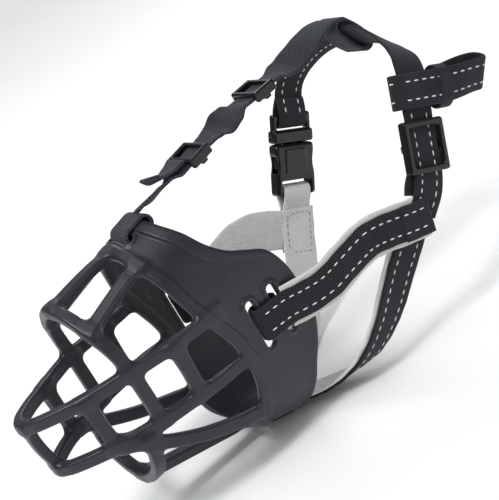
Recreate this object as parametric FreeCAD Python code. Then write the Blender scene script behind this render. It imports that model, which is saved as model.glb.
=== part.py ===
import FreeCAD, Part
import os
import math

# Basket muzzle with its straps and hardware, millimetres. The nose points to -Y,
# up is +Z and the wearer's left is +X. The origin is on the centre plane, 3.8 mm
# forward of the midpoint of the front and rear cheek slots and 1.5 mm above the
# height of their centres.

os.makedirs("parts", exist_ok=True)
Vec = FreeCAD.Vector
X_AXIS, Y_AXIS, Z_AXIS = Vec(1, 0, 0), Vec(0, 1, 0), Vec(0, 0, 1)
ORIGIN = Vec(0, 0, 0)

# webbing and its lining
WEB_W, WEB_T = 15.0, 1.5
LINING_W, LINING_T = 19.0, 1.1
CHIN_LINING_W = LINING_W - 1.0
LINING_OFFSET = 1.5     # from strap centre to lining centre
LOOP_T = 1.4            # webbing of the two anchor loops

CUT = 10.0              # reach of a cutting box beyond the part


# ------------------------------------------------------------ vectors and output
def unit(vector):
    return Vec(vector).normalize()


def save(name, shape):
    if len(shape.Solids) == 1:
        shape = shape.Solids[0]
    shape.exportStep("parts/" + name + ".step")


def place(shape, origin, a, b, c):
    """Copy of a shape with its local X, Y and Z laid along a, b and c."""
    matrix = FreeCAD.Matrix(a.x, b.x, c.x, origin.x,
                            a.y, b.y, c.y, origin.y,
                            a.z, b.z, c.z, origin.z,
                            0, 0, 0, 1)
    shape = shape.copy()
    shape.Placement = FreeCAD.Placement(matrix)
    return shape


def hardware_axes(direction, outward):
    """Hardware frame: across the strap, outward from it, along it."""
    along = unit(direction)
    out = unit(outward - along * outward.dot(along))
    return out.cross(along), out, along


def sloped_axes(slope):
    """Rearward direction with a rise of slope, and the upward normal to it."""
    return unit(Vec(0, 1, slope)), unit(Vec(0, -slope, 1))


# ------------------------------------------------------------------------ straps
# A strap path is a list of rows: centre x, y, z, then the direction across the
# webbing x, y, z.
def catmull_rom(points, t):
    """Point and tangent of a chord-weighted Catmull-Rom curve, t in 0..len-1."""
    last = len(points) - 1
    i = min(int(t), last - 1)
    f = t - i
    start, end = points[i], points[i + 1]
    before = points[i - 1] if i > 0 else start + (start - end)
    after = points[i + 2] if i + 2 <= last else end + (end - start)
    chord_in = (start - before).Length
    chord = (end - start).Length
    chord_out = (after - end).Length
    slope_start = ((start - before) * (chord / chord_in)
                   + (end - start) * (chord_in / chord)) * (chord / (chord_in + chord))
    slope_end = ((end - start) * (chord_out / chord)
                 + (after - end) * (chord / chord_out)) * (chord / (chord + chord_out))
    f2, f3 = f * f, f * f * f
    point = (start * (2 * f3 - 3 * f2 + 1) + slope_start * (f3 - 2 * f2 + f)
             + end * (-2 * f3 + 3 * f2) + slope_end * (f3 - f2))
    tangent = (start * (6 * f2 - 6 * f) + slope_start * (3 * f2 - 4 * f + 1)
               + end * (6 * f - 6 * f2) + slope_end * (3 * f2 - 2 * f))
    return point, unit(tangent)


def stations(path, per):
    """(point, across, normal) at per steps between neighbouring path rows."""
    points = [Vec(*row[:3]) for row in path]
    widths = [unit(Vec(*row[3:])) for row in path]
    spans = len(points) - 1
    rows = []
    for k in range(spans * per + 1):
        t = k / per
        point, tangent = catmull_rom(points, t)
        i = min(int(t), spans - 1)
        across = unit(widths[i] + (widths[i + 1] - widths[i]) * (t - i))
        across = unit(across - tangent * across.dot(tangent))
        rows.append((point, across, tangent.cross(across)))
    return rows


def band(path, width, thick, offset=0.0, per=3, first=None, last=None):
    """A strap: a rectangle lofted along a path, offset along its normal.
    first and last slice the stations to shorten it."""
    wires = []
    for point, across, normal in stations(path, per)[first:last]:
        centre = point + normal * offset
        corners = [centre + across * (sx * width / 2) + normal * (sy * thick / 2)
                   for sx, sy in ((-1, -1), (1, -1), (1, 1), (-1, 1))]
        wires.append(Part.makePolygon(corners + [corners[0]]))
    return Part.makeLoft(wires, True, True)


def inward(path):
    """Sign of the offset that moves a band towards the middle plane."""
    point, _, normal = stations(path, 1)[1]
    return -1.0 if (normal.x > 0) == (point.x > 0) else 1.0


# ------------------------------------------------------------------ plain solids
def box(x0, x1, y0, y1, z0, z1):
    return Part.makeBox(x1 - x0, y1 - y0, z1 - z0, Vec(x0, y0, z0))


def edges_along(shape, axis):
    return [e for e in shape.Edges if abs(e.tangentAt(e.FirstParameter).dot(axis)) > 0.9]


def obround_face(centre, along, normal, start, end, radius):
    """Two straight runs from start to end, joined by half rounds."""
    def at(s, t):
        return centre + along * s + normal * t

    return Part.Face(Part.Wire([
        Part.LineSegment(at(start, -radius), at(end, -radius)).toShape(),
        Part.Arc(at(end, -radius), at(end + radius, 0), at(end, radius)).toShape(),
        Part.LineSegment(at(end, radius), at(start, radius)).toShape(),
        Part.Arc(at(start, radius), at(start - radius, 0), at(start, -radius)).toShape(),
    ]))


def slot_cut(length, width, depth):
    """Obround prism, long axis X, short axis Y, along Z, centred."""
    half = length / 2 - width / 2
    face = obround_face(ORIGIN, X_AXIS, Y_AXIS, -half, half, width / 2)
    face.translate(Vec(0, 0, -depth / 2))
    return face.extrude(Vec(0, 0, depth))


def flat_loop(centre, along, normal, start, end, half_gap, across, width, thick):
    """A flattened closed loop of webbing; half_gap is from centre to mid-thickness."""
    face = obround_face(centre, along, normal, start, end, half_gap + thick / 2).cut(
        obround_face(centre, along, normal, start, end, half_gap - thick / 2))
    face.translate(across * (-width / 2))
    return face.extrude(across * width).Solids[0]


# ------------------------------------------------------------------------ collar
COLLAR_WALL = 2.8
# y, half width, top z, bottom z
COLLAR_SECTIONS = [
    (-46.0, 31.4, 46.8, -41.5), (-34.0, 32.7, 49.6, -44.0), (-22.0, 33.7, 52.4, -47.2),
    (-8.0, 34.2, 55.4, -51.2), (6.0, 34.4, 57.2, -55.0), (18.0, 34.3, 58.2, -57.5),
    (30.0, 34.0, 58.8, -59.0)]
COLLAR_MID_Z = 2.0                    # height of the widest point
ROUND_TOP, ROUND_BOTTOM = 2.0, 2.7    # superellipse exponents of the two halves
SECTION_POINTS = 36
TRIM_X = 80.0                         # half width of the trimming prism

# Side outline of the collar as y, z: front edge downwards, then rear rim upwards
# round the cheek wing to the brow.
FRONT_EDGE = [
    (-31.0, 70.0), (-31.0, 52.0), (-30.0, 46.0), (-27.5, 36.0), (-24.5, 20.0), (-20.0, 8.0),
    (-17.0, -1.0), (-15.6, -10.0), (-15.6, -19.0), (-18.0, -30.0), (-21.0, -37.5),
    (-21.0, -43.5), (-17.5, -50.0), (-16.5, -70.0)]
REAR_RIM = [
    (4.0, -70.0), (3.4, -54.5), (7.0, -49.5), (10.4, -42.5), (13.6, -34.0), (18.6, -24.6),
    (22.4, -15.5), (23.2, -5.0), (23.2, 4.5), (22.0, 13.5), (18.4, 21.8), (11.2, 26.8),
    (4.2, 31.4), (-1.4, 38.2), (-5.2, 46.5), (-9.0, 52.6), (-11.5, 57.5), (-12.0, 70.0)]


def signed_power(value, power):
    return math.copysign(abs(value) ** power, value)


def collar_section(y, half_width, top, bottom, offset):
    half_width, top, bottom = half_width + offset, top + offset, bottom - offset
    points = []
    for k in range(SECTION_POINTS):
        angle = 2 * math.pi * k / SECTION_POINTS
        ca, sa = math.cos(angle), math.sin(angle)
        exponent = ROUND_TOP if sa >= 0 else ROUND_BOTTOM
        height = (top - COLLAR_MID_Z) if sa >= 0 else (COLLAR_MID_Z - bottom)
        points.append(Vec(signed_power(ca, 2 / exponent) * half_width, y,
                          COLLAR_MID_Z + signed_power(sa, 2 / exponent) * height))
    curve = Part.BSplineCurve()
    curve.interpolate(Points=points, PeriodicFlag=True)
    return Part.Wire(curve.toShape())


def collar_body(offset):
    return Part.makeLoft([collar_section(*row, offset) for row in COLLAR_SECTIONS],
                         True, False)


def side_curve(points):
    curve = Part.BSplineCurve()
    curve.interpolate([Vec(-TRIM_X, y, z) for y, z in points])
    return curve.toShape()


def side_line(start, end):
    return Part.LineSegment(Vec(-TRIM_X, *start), Vec(-TRIM_X, *end)).toShape()


def make_collar():
    shell = collar_body(COLLAR_WALL / 2).cut(collar_body(-COLLAR_WALL / 2))
    profile = Part.Wire([side_curve(FRONT_EDGE), side_line(FRONT_EDGE[-1], REAR_RIM[0]),
                         side_curve(REAR_RIM), side_line(REAR_RIM[-1], FRONT_EDGE[0])])
    return shell.common(Part.Face(profile).extrude(Vec(2 * TRIM_X, 0, 0)))


# --------------------------------------------------------------------- cage bars
BAR_W = 6.2             # along the basket surface
BAR_T = 4.8             # through the surface
BOTTOM_BAR_W = 8.4
BAR_POINTS = 16         # points round a bar section
BAR_POWER = 0.8         # below 1 squares the section up

# Tables hold x, y, z. The first four are left halves that end on the centre plane.
UPPER_LOOP = [
    (33.6, -20.0, 14.7), (32.4, -33.0, 14.8), (30.6, -46.0, 15.3), (28.0, -58.0, 15.9),
    (23.6, -69.5, 15.7), (18.2, -80.0, 15.6), (11.6, -90.6, 15.9), (5.6, -97.2, 16.0),
    (0.0, -99.2, 16.0)]
LOWER_LOOP = [
    (33.9, -14.5, -10.4), (32.9, -30.0, -9.9), (30.9, -45.0, -9.5), (28.2, -57.8, -9.2),
    (23.8, -69.0, -9.0), (18.2, -79.0, -8.8), (11.4, -88.6, -8.5), (5.4, -94.6, -8.3),
    (0.0, -96.4, -8.2)]
# transverse arch over the nose, standing on the lower loop
NOSE_ARCH = [
    (28.2, -57.8, -10.0), (28.5, -57.6, 4.0), (28.0, -57.8, 15.5), (25.9, -58.8, 26.0),
    (18.9, -60.6, 36.4), (10.0, -62.0, 43.9), (0.0, -62.8, 47.2)]
CHIN_HOOP = [
    (25.6, -65.5, -13.0), (25.2, -66.6, -19.5), (22.0, -67.2, -26.0), (15.6, -67.4, -31.0),
    (8.0, -67.4, -34.6), (0.0, -67.4, -35.8)]
# bars on the centre plane
ROOF_BAR = [(0, -27.0, 51.2), (0, -45.0, 49.8), (0, -62.8, 47.0)]
FRONT_POST = [(0, -98.6, 16.0), (0, -98.2, 4.0), (0, -95.8, -8.2)]
BOTTOM_BAR = [(0, -67.4, -35.8), (0, -50.0, -40.2), (0, -33.0, -44.4), (0, -12.0, -49.6)]
# bars repeated on the right side
SIDE_ROOF_BAR = [(16.6, -26.0, 45.8), (17.6, -44.0, 41.2), (19.0, -60.6, 36.3)]
REAR_DIVIDER = [(32.6, -38.2, 14.9), (32.9, -38.4, 2.5), (32.3, -38.8, -9.6)]
FRONT_DIVIDER = [(19.6, -77.6, 15.6), (19.9, -77.4, 3.5), (19.6, -76.8, -8.8)]
# rises forward from the collar to the lower loop
LOW_SIDE_BAR = [
    (29.2, -15.0, -36.4), (29.7, -31.0, -31.2), (29.2, -46.0, -25.4), (27.6, -58.0, -19.2),
    (25.2, -67.5, -13.2), (21.4, -74.5, -9.2)]


def bar(table, across, width=BAR_W):
    """A rounded section swept along a smooth curve; across is its width direction."""
    points = [Vec(*row) for row in table]
    curve = Part.BSplineCurve()
    curve.interpolate(points)
    tangent = unit(curve.tangent(curve.FirstParameter)[0])
    across = unit(across)
    across = unit(across - tangent * across.dot(tangent))
    normal = tangent.cross(across)
    ring = []
    for k in range(BAR_POINTS):
        angle = 2 * math.pi * k / BAR_POINTS
        u = signed_power(math.cos(angle), BAR_POWER)
        v = signed_power(math.sin(angle), BAR_POWER)
        ring.append(points[0] + across * (u * width / 2) + normal * (v * BAR_T / 2))
    section = Part.BSplineCurve()
    section.interpolate(Points=ring, PeriodicFlag=True)
    sweep = Part.BRepOffsetAPI.MakePipeShell(Part.Wire(curve.toShape()))
    sweep.setBiNormalMode(across)
    sweep.add(Part.Wire(section.toShape()))
    sweep.build()
    sweep.makeSolid()
    return sweep.shape()


def both_sides(half):
    """Carry a left half on across the centre plane to the right."""
    return half + [(-x, y, z) for x, y, z in half[:-1]][::-1]


def make_bars():
    bars = [
        bar(both_sides(UPPER_LOOP), Z_AXIS),
        bar(both_sides(LOWER_LOOP), Z_AXIS),
        bar(both_sides(NOSE_ARCH), Y_AXIS),
        bar(ROOF_BAR, X_AXIS),
        bar(FRONT_POST, X_AXIS),
        bar(both_sides(CHIN_HOOP), Y_AXIS),
        bar(BOTTOM_BAR, X_AXIS, BOTTOM_BAR_W),
    ]
    for table, across in ((SIDE_ROOF_BAR, Vec(1, 0, -0.6)), (REAR_DIVIDER, Y_AXIS),
                          (FRONT_DIVIDER, Vec(0.45, 1, 0)), (LOW_SIDE_BAR, Vec(0, 0.25, 1))):
        left = bar(table, across)
        bars += [left, left.mirror(ORIGIN, X_AXIS)]
    return bars


# ------------------------------------------------------------------------ basket
CHEEK_SLOT_YS = (-2.2, 9.8)           # front and rear slot of each pair
CHEEK_SLOT_Z = -1.5
CHEEK_SLOT_W, CHEEK_SLOT_H = 4.2, 23.0
CHEEK_CUT = 120.0                     # passes through both sides of the collar
BROW_SLOT = Vec(0, -21.3, 54)
BROW_SLOT_W, BROW_SLOT_L, BROW_CUT = 5.0, 18.0, 24
CHIN_SLOT = Vec(0, -12.2, -51)
CHIN_SLOT_W, CHIN_SLOT_L, CHIN_CUT = 4.6, 18.0, 14
CHIN_ALONG, CHIN_NORMAL = sloped_axes(-0.27)


def largest_solid(shape):
    return max(shape.Solids, key=lambda solid: solid.Volume)


def make_basket():
    basket = make_collar()
    for cage_bar in make_bars():
        basket = basket.fuse(cage_bar)
    basket = largest_solid(basket)
    for y in CHEEK_SLOT_YS:
        cutter = slot_cut(CHEEK_SLOT_H, CHEEK_SLOT_W, CHEEK_CUT)
        basket = basket.cut(place(cutter, Vec(0, y, CHEEK_SLOT_Z), Z_AXIS, Y_AXIS, -X_AXIS))
    cutter = slot_cut(BROW_SLOT_L, BROW_SLOT_W, BROW_CUT)
    basket = basket.cut(place(cutter, BROW_SLOT, X_AXIS, Y_AXIS, Z_AXIS))
    cutter = slot_cut(CHIN_SLOT_L, CHIN_SLOT_W, CHIN_CUT)
    basket = basket.cut(place(cutter, CHIN_SLOT, X_AXIS, CHIN_ALONG, CHIN_NORMAL))
    return largest_solid(basket)


save("basket", make_basket())

# ------------------------------------------------- cheek straps, linings, patches
CHEEK_Z = -2.0
# |x|, y of the end that starts in the rear slot, runs behind the web between the
# slots, leaves by the front slot and turns back over the outside
CHEEK_RETURN = [
    (34.6, 10.0), (32.6, 9.9), (31.3, 8.8), (31.0, 6.0), (31.0, 2.0),
    (31.3, -0.9), (32.8, -2.4), (35.2, -2.5), (37.0, -1.6), (37.6, 1.0)]
CHEEK_LEFT = [
    (38.0, 5.0, -2.0, 0, 0.03, 1), (38.5, 11.0, -2.3, 0, 0.08, 1),
    (40.6, 19.5, -3.4, 0, 0.02, 1), (45.0, 30.0, -2.8, 0, -0.2, 1),
    (48.6, 42.0, 0.6, 0, -0.25, 1), (49.9, 53.0, 2.2, 0, 0.1, 1),
    (49.6, 64.0, -0.8, 0, 0.4, 1), (48.6, 75.0, -6.4, 0, 0.5, 1)]
CHEEK_RIGHT = [
    (-38.0, 5.0, -2.0, 0, 0.03, 1), (-38.5, 11.0, -2.2, 0, 0.03, 1),
    (-40.4, 20.0, -2.0, 0, -0.1, 1), (-43.4, 32.0, 0.2, 0, -0.15, 1),
    (-45.6, 44.0, 1.2, 0, 0.1, 1), (-46.6, 55.0, -1.6, 0, 0.4, 1),
    (-46.9, 64.0, -6.9, 0, 0.6, 1), (-46.7, 70.2, -12.2, 0, 0.65, 1)]
# patches lie outside the rear ends of the cheek straps
PATCH_LEFT = [(51.2, 86.0, 0.2, 0, -0.72, 0.69), (50.0, 78.5, -6.5, 0, -0.70, 0.71),
              (49.0, 71.0, -13.2, 0, -0.7, 0.71)]
PATCH_RIGHT = [(-48.7, 79.6, -8.6, 0, -0.889, 0.458), (-48.0, 75.6, -16.2, 0, -0.87, 0.48),
               (-47.0, 70.2, -25.2, 0, -0.86, 0.50)]
PATCH_W, PATCH_T, PATCH_OFFSET = WEB_W + 1.5, 1.6, 2.2

for side, sign, path, patch in (("left", 1, CHEEK_LEFT, PATCH_LEFT),
                                ("right", -1, CHEEK_RIGHT, PATCH_RIGHT)):
    return_path = [(sign * x, y, CHEEK_Z, 0, 0, 1) for x, y in CHEEK_RETURN]
    save("cheek_strap_" + side, band(return_path + path, WEB_W, WEB_T, per=2))
    save("cheek_lining_" + side,
         band(path, LINING_W, LINING_T, LINING_OFFSET * inward(path), first=2, last=-1))
    save("junction_patch_" + side,
         band(patch, PATCH_W, PATCH_T, -PATCH_OFFSET * inward(patch)))

# -------------------------------------------------------- chin straps and linings
CHIN_LEFT = [
    (45.4, 69.8, -14.4, 0.05, -0.7, 0.71), (45.2, 63.0, -20.0, 0.05, -0.74, 0.66),
    (44.0, 54.2, -28.8, 0.1, -0.76, 0.62), (41.4, 45.4, -37.6, 0.25, -0.74, 0.6),
    (37.0, 37.4, -44.6, 0.42, -0.72, 0.55), (31.0, 31.0, -49.6, 0.55, -0.72, 0.42),
    (24.0, 25.4, -52.6, 0.62, -0.72, 0.3), (17.4, 19.8, -53.6, 0.68, -0.70, 0.22),
    (11.8, 14.8, -53.9, 0.70, -0.68, 0.2)]
CHIN_RIGHT = [
    (-45.6, 68.4, -27.2, 0, -0.86, 0.5), (-43.6, 62.2, -36.0, -0.05, -0.84, 0.52),
    (-40.4, 54.4, -44.0, -0.2, -0.8, 0.55), (-36.2, 45.8, -49.6, -0.35, -0.8, 0.48),
    (-30.6, 37.0, -52.8, -0.5, -0.78, 0.35), (-24.0, 28.4, -54.0, -0.6, -0.76, 0.24),
    (-17.6, 21.2, -54.0, -0.68, -0.70, 0.16), (-12.2, 15.4, -53.6, -0.71, -0.68, 0.14)]

for side, path in (("left", CHIN_LEFT), ("right", CHIN_RIGHT)):
    save("chin_strap_" + side, band(path, WEB_W, WEB_T))
    save("chin_lining_" + side,
         band(path, CHIN_LINING_W, LINING_T, LINING_OFFSET * inward(path), first=1, last=-7))

# ------------------------------------------------------------------- neck straps
NECK_SLIDE = Vec(50.0, 98.5, 19.0)
NECK_ALONG = unit(Vec(-0.0998, 0.419, 0.902))
BUCKLE = Vec(-48.0, 84.0, 0.0)
BUCKLE_ALONG = unit(Vec(0.068, 0.457, 0.887))


def at_slide(distance):
    """Strap path row on the axis of the neck slide."""
    return (*(NECK_SLIDE + NECK_ALONG * distance), 0, -0.907, 0.421)


def at_buckle(distance):
    """Strap path row on the axis of the buckle."""
    return (*(BUCKLE + BUCKLE_ALONG * distance), 0, -0.889, 0.458)


NECK_LEFT = [
    (50.9, 87.2, -0.4, 0, -0.80, 0.60), at_slide(-15), at_slide(-5), at_slide(5),
    at_slide(15), at_slide(24), at_slide(31), (42.0, 115.8, 52.8, 0, -0.8, 0.6),
    (33.4, 118.6, 57.4, 0, -0.68, 0.73), (24.6, 120.3, 60.6, 0, -0.58, 0.81),
    (15.0, 121.1, 62.6, 0, -0.5, 0.86), (8.0, 121.3, 63.1, 0, -0.5, 0.86),
    (0.4, 121.4, 63.2, 0, -0.5, 0.86)]
NECK_RIGHT = [
    (-0.4, 121.4, 63.2, 0, -0.5, 0.86), (-8.0, 121.2, 63.1, 0, -0.5, 0.86),
    (-15.0, 120.4, 62.6, 0, -0.52, 0.86), (-24.0, 117.8, 60.0, 0, -0.6, 0.8),
    (-33.0, 114.0, 55.6, 0, -0.7, 0.7), (-40.2, 110.0, 50.0, 0, -0.8, 0.6),
    at_buckle(47.5), at_buckle(43.2)]
save("neck_strap_left", band(NECK_LEFT, WEB_W, WEB_T, per=2))
save("neck_strap_right", band(NECK_RIGHT, WEB_W, WEB_T, per=2))

# --------------------------------------------------------------- forehead straps
FOREHEAD_LOWER = [
    (0, -5.2, 59.3, 0.94, 0, 0.34), (0, 2.0, 58.6, 0.94, 0, 0.34),
    (0, 9.5, 59.9, 0.97, 0, 0.24), (0, 15.0, 60.97, 1, 0, 0), (0, 20.0, 61.79, 1, 0, 0),
    (0, 31.0, 63.61, 1, 0, 0), (0, 36.0, 64.43, 1, 0, 0), (0, 39.8, 65.0, 1, 0, -0.16)]
FOREHEAD_UPPER = [
    (0, 40.6, 65.1, 1, 0, -0.2), (0, 46.0, 65.8, 0.8, 0, -0.6),
    (0, 51.5, 66.8, 0.86, 0, -0.42), (0, 56.4, 67.38, 1, 0, 0), (0, 61.0, 67.65, 1, 0, 0),
    (0, 73.0, 68.35, 1, 0, 0), (0, 77.8, 68.64, 1, 0, 0), (0, 83.0, 68.6, 0.94, 0, -0.34),
    (0, 90.5, 69.0, 0.84, 0, -0.54), (0, 99.0, 71.0, 0.86, 0, -0.5),
    (0, 107.0, 73.6, 0.95, 0, -0.3), (0, 113.2, 74.6, 1, 0, -0.05)]
# free end forward of the lower slide, its tip curling up
FOREHEAD_TAIL = [
    (0, 18.6, 64.9, 1, 0, 0), (0, 14.0, 63.9, 1, 0, 0.1), (0, 9.4, 63.3, 1, 0, 0.2),
    (0, 5.4, 64.0, 1, 0, 0.28), (0, 3.4, 66.2, 1, 0, 0.3)]
save("forehead_strap_lower", band(FOREHEAD_LOWER, WEB_W, WEB_T, per=2))
save("forehead_strap_upper", band(FOREHEAD_UPPER, WEB_W, WEB_T, per=2))
save("forehead_strap_tail", band(FOREHEAD_TAIL, WEB_W, WEB_T))

# ----------------------------------------------------------------- webbing loops
# through the chin slot and round the rear rim
save("chin_anchor_loop",
     flat_loop(Vec(0, 0, -53.3) + CHIN_NORMAL * 1.8, CHIN_ALONG, CHIN_NORMAL,
               start=-8.4, end=3.0, half_gap=4.5, across=X_AXIS, width=WEB_W, thick=LOOP_T))
# through the brow slot and round the rear rim
BROW_ALONG, BROW_NORMAL = sloped_axes(0.19)
save("forehead_anchor_loop",
     flat_loop(Vec(0, -14.6, 53.35), BROW_ALONG, BROW_NORMAL,
               start=-3.6, end=3.8, half_gap=3.35, across=X_AXIS, width=WEB_W, thick=LOOP_T))
# closed round the neck straps where they meet on the centre plane
save("crown_loop",
     flat_loop(Vec(0, 121.4, 63.2), unit(Vec(0, -0.5, 0.86)), unit(Vec(0, 0.86, 0.5)),
               start=-7.0, end=7.0, half_gap=2.7, across=X_AXIS, width=WEB_W, thick=WEB_T))

# collar loop on the neck strap above its slide, and the keeper round the loop
COLLAR_LOOP = NECK_SLIDE + NECK_ALONG * 24.0
LOOP_REAR = Vec(0, 0.935, -0.353)
LOOP_ALONG = unit(LOOP_REAR - NECK_ALONG * LOOP_REAR.dot(NECK_ALONG))
LOOP_NORMAL = LOOP_ALONG.cross(NECK_ALONG)
LOOP_HALF_GAP = 3.6
save("collar_loop",
     flat_loop(COLLAR_LOOP, LOOP_ALONG, LOOP_NORMAL, start=-7.4, end=34.0,
               half_gap=LOOP_HALF_GAP, across=NECK_ALONG, width=WEB_W, thick=WEB_T))

KEEPER_AT, KEEPER_HALF_L = 13.5, 3.0
KEEPER_OUT_Y, KEEPER_OUT_Z = LOOP_HALF_GAP + 2.4, (WEB_W + 3.4) / 2
KEEPER_IN_Y, KEEPER_IN_Z = LOOP_HALF_GAP + 1.2, (WEB_W + 1.0) / 2
keeper = box(-KEEPER_HALF_L, KEEPER_HALF_L, -KEEPER_OUT_Y, KEEPER_OUT_Y,
             -KEEPER_OUT_Z, KEEPER_OUT_Z)
keeper = keeper.cut(box(-KEEPER_HALF_L - 1, KEEPER_HALF_L + 1, -KEEPER_IN_Y, KEEPER_IN_Y,
                        -KEEPER_IN_Z, KEEPER_IN_Z))
save("collar_loop_keeper", place(keeper, COLLAR_LOOP + LOOP_ALONG * KEEPER_AT,
                                 LOOP_ALONG, LOOP_NORMAL, LOOP_ALONG.cross(LOOP_NORMAL)))

# ------------------------------------------------------------------------ slides
SLIDE_REACH = 3.1       # end bars and middle bar reach this far from the strap centre
SLIDE_CLEAR = 1.3       # strap centre to the near face of a bar
RAIL_UNDER = 1.9        # side rails reach this far under the strap
EAR_TOP = -0.7          # ears join the middle bar to the rails
EAR_INSET = 0.6
MID_BAR_HALF = 1.5
SLIDE_CORNER = 2.6


def slide(origin, direction, outward, width, length, rail, end_bar):
    """Three-bar slide: end bars over the strap, middle bar under it, joined by side
    rails outside the strap."""
    half_w, half_l = width / 2, length / 2
    inner = half_w - rail
    body = box(-half_w, half_w, -RAIL_UNDER, SLIDE_REACH, -half_l, half_l)
    body = body.makeFillet(SLIDE_CORNER, edges_along(body, Y_AXIS))
    body = body.cut(box(-inner, inner, -CUT, CUT, -half_l + end_bar, half_l - end_bar))
    body = body.cut(box(-inner, inner, -CUT, SLIDE_CLEAR, -half_l - 2, half_l + 2))
    mid_half = half_w - rail / 2
    middle = box(-mid_half, mid_half, -SLIDE_REACH, -SLIDE_CLEAR, -MID_BAR_HALF, MID_BAR_HALF)
    ear_x = half_w - EAR_INSET
    ears = box(-ear_x, -inner, -SLIDE_REACH, EAR_TOP, -MID_BAR_HALF, MID_BAR_HALF).fuse(
        box(inner, ear_x, -SLIDE_REACH, EAR_TOP, -MID_BAR_HALF, MID_BAR_HALF))
    body = body.fuse(middle).fuse(ears)
    return place(body.removeSplitter().Solids[0], origin, *hardware_axes(direction, outward))


save("neck_slide", slide(NECK_SLIDE, NECK_ALONG, X_AXIS,
                         width=21.4, length=23.0, rail=2.8, end_bar=3.0))
for name, origin, direction in (("lower", Vec(0, 25.5, 62.7), Vec(0, 17, 2.8)),
                                ("upper", Vec(0, 67.0, 68.0), Vec(0, 17, 0.99))):
    save("forehead_slide_" + name, slide(origin, direction, Z_AXIS,
                                         width=21.0, length=12.0, rail=2.6, end_bar=2.4))

# ----------------------------------------------------------- side-release buckle
# Local frame: X across the strap, Y outward, Z up the strap from the socket's end.
BUCKLE_AXES = hardware_axes(BUCKLE_ALONG, -X_AXIS)
SOCKET_L, SOCKET_W, SOCKET_T = 25.0, 21.6, 7.8
HALF_W, HALF_T = SOCKET_W / 2, SOCKET_T / 2
SLOT_HALF, SLOT_H = 8.4, 3.4          # webbing slots of socket and plug
SOCKET_SLOT_Z, PLUG_SLOT_Z = 2.8, 31.6
CAVITY_HALF_W, CAVITY_HALF_T, CAVITY_Z = 9.7, 2.3, 8.4
WINDOW_Z0, WINDOW_Z1 = 11.2, 19.2
RELIEF_Y, RELIEF_Z = 2.2, 3.0         # relief on both faces of the socket's bar

PLUG_Z, PLUG_H = SOCKET_L + 0.4, 6.0
PLUG_HALF_T = HALF_T - 0.3
FRAME_Z0, FRAME_Z1 = 28.0, 39.4
TONGUE_HALF_W, TONGUE_Z0, TONGUE_Z1 = 1.6, 11.6, 26.0
FRAME_HALF_T = 1.8                    # plug frame and tongue

PRONG_X, PRONG_Z = 6.4, 27.2          # centre of each prong root in the plug
ROOT_R, SEAT_R = 1.84, 1.90
PRONG_HALF_T, SEAT_HALF_T = 1.9, 2.1
THROAT_HALF_W, THROAT_Z = 1.8, 24.2
# x, z outline of the prong on the +X side
PRONG_OUTLINE = [
    (PRONG_X - 1.1, PRONG_Z), (PRONG_X + 1.1, PRONG_Z), (PRONG_X + 1.2, 20.4), (9.4, 18.4),
    (9.4, 13.6), (7.0, 10.6), (5.4, 10.6), (5.0, 12.0)]


def webbing_slot(z):
    return box(-SLOT_HALF, SLOT_HALF, -CUT, CUT, z, z + SLOT_H)


def cylinder_y(radius, half, x, z):
    return Part.makeCylinder(radius, 2 * half, Vec(x, -half, z), Y_AXIS)


def make_socket():
    body = box(-HALF_W, HALF_W, -HALF_T, HALF_T, 0, SOCKET_L)
    body = body.makeFillet(2.4, [e for e in edges_along(body, Y_AXIS)
                                 if e.CenterOfMass.z < 1])
    body = body.makeFillet(1.4, edges_along(body, Z_AXIS))
    body = body.cut(box(-CAVITY_HALF_W, CAVITY_HALF_W, -CAVITY_HALF_T, CAVITY_HALF_T,
                        CAVITY_Z, CAVITY_Z + SOCKET_L))
    # side windows
    body = body.cut(box(-HALF_W - 2, HALF_W + 2, -CAVITY_HALF_T, CAVITY_HALF_T,
                        WINDOW_Z0, WINDOW_Z1))
    body = body.cut(webbing_slot(SOCKET_SLOT_Z))
    for y0, y1 in ((RELIEF_Y, CUT), (-CUT, -RELIEF_Y)):
        body = body.cut(box(-SLOT_HALF, SLOT_HALF, y0, y1, -0.5, RELIEF_Z))
    return body.removeSplitter()


def make_plug():
    body = box(-HALF_W, HALF_W, -PLUG_HALF_T, PLUG_HALF_T, PLUG_Z, PLUG_Z + PLUG_H)
    body = body.makeFillet(1.2, edges_along(body, Z_AXIS))
    frame = box(-HALF_W, HALF_W, -FRAME_HALF_T, FRAME_HALF_T, FRAME_Z0, FRAME_Z1)
    body = body.fuse(frame.makeFillet(2.4, edges_along(frame, Y_AXIS)))
    body = body.cut(webbing_slot(PLUG_SLOT_Z))
    body = body.fuse(box(-TONGUE_HALF_W, TONGUE_HALF_W, -FRAME_HALF_T, FRAME_HALF_T,
                         TONGUE_Z0, TONGUE_Z1))
    for x in (-PRONG_X, PRONG_X):
        seat = cylinder_y(SEAT_R, SEAT_HALF_T, x, PRONG_Z)
        throat = box(x - THROAT_HALF_W, x + THROAT_HALF_W, -SEAT_HALF_T, SEAT_HALF_T,
                     THROAT_Z, PRONG_Z)
        body = body.cut(seat.fuse(throat))
    return body.removeSplitter().Solids[0]


def make_prong(sign):
    root = cylinder_y(ROOT_R, PRONG_HALF_T, sign * PRONG_X, PRONG_Z)
    points = [Vec(sign * x, -PRONG_HALF_T, z) for x, z in PRONG_OUTLINE]
    face = Part.Face(Part.makePolygon(points + [points[0]]))
    arm = face.extrude(Vec(0, 2 * PRONG_HALF_T, 0))
    return root.fuse(arm).removeSplitter().Solids[0]


# The prong named front is on the local +X side, which faces +Y and down.
for name, shape in (("socket", make_socket()), ("plug", make_plug()),
                    ("prong_front", make_prong(1)), ("prong_rear", make_prong(-1))):
    save("buckle_" + name, place(shape, BUCKLE, *BUCKLE_AXES))

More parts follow.
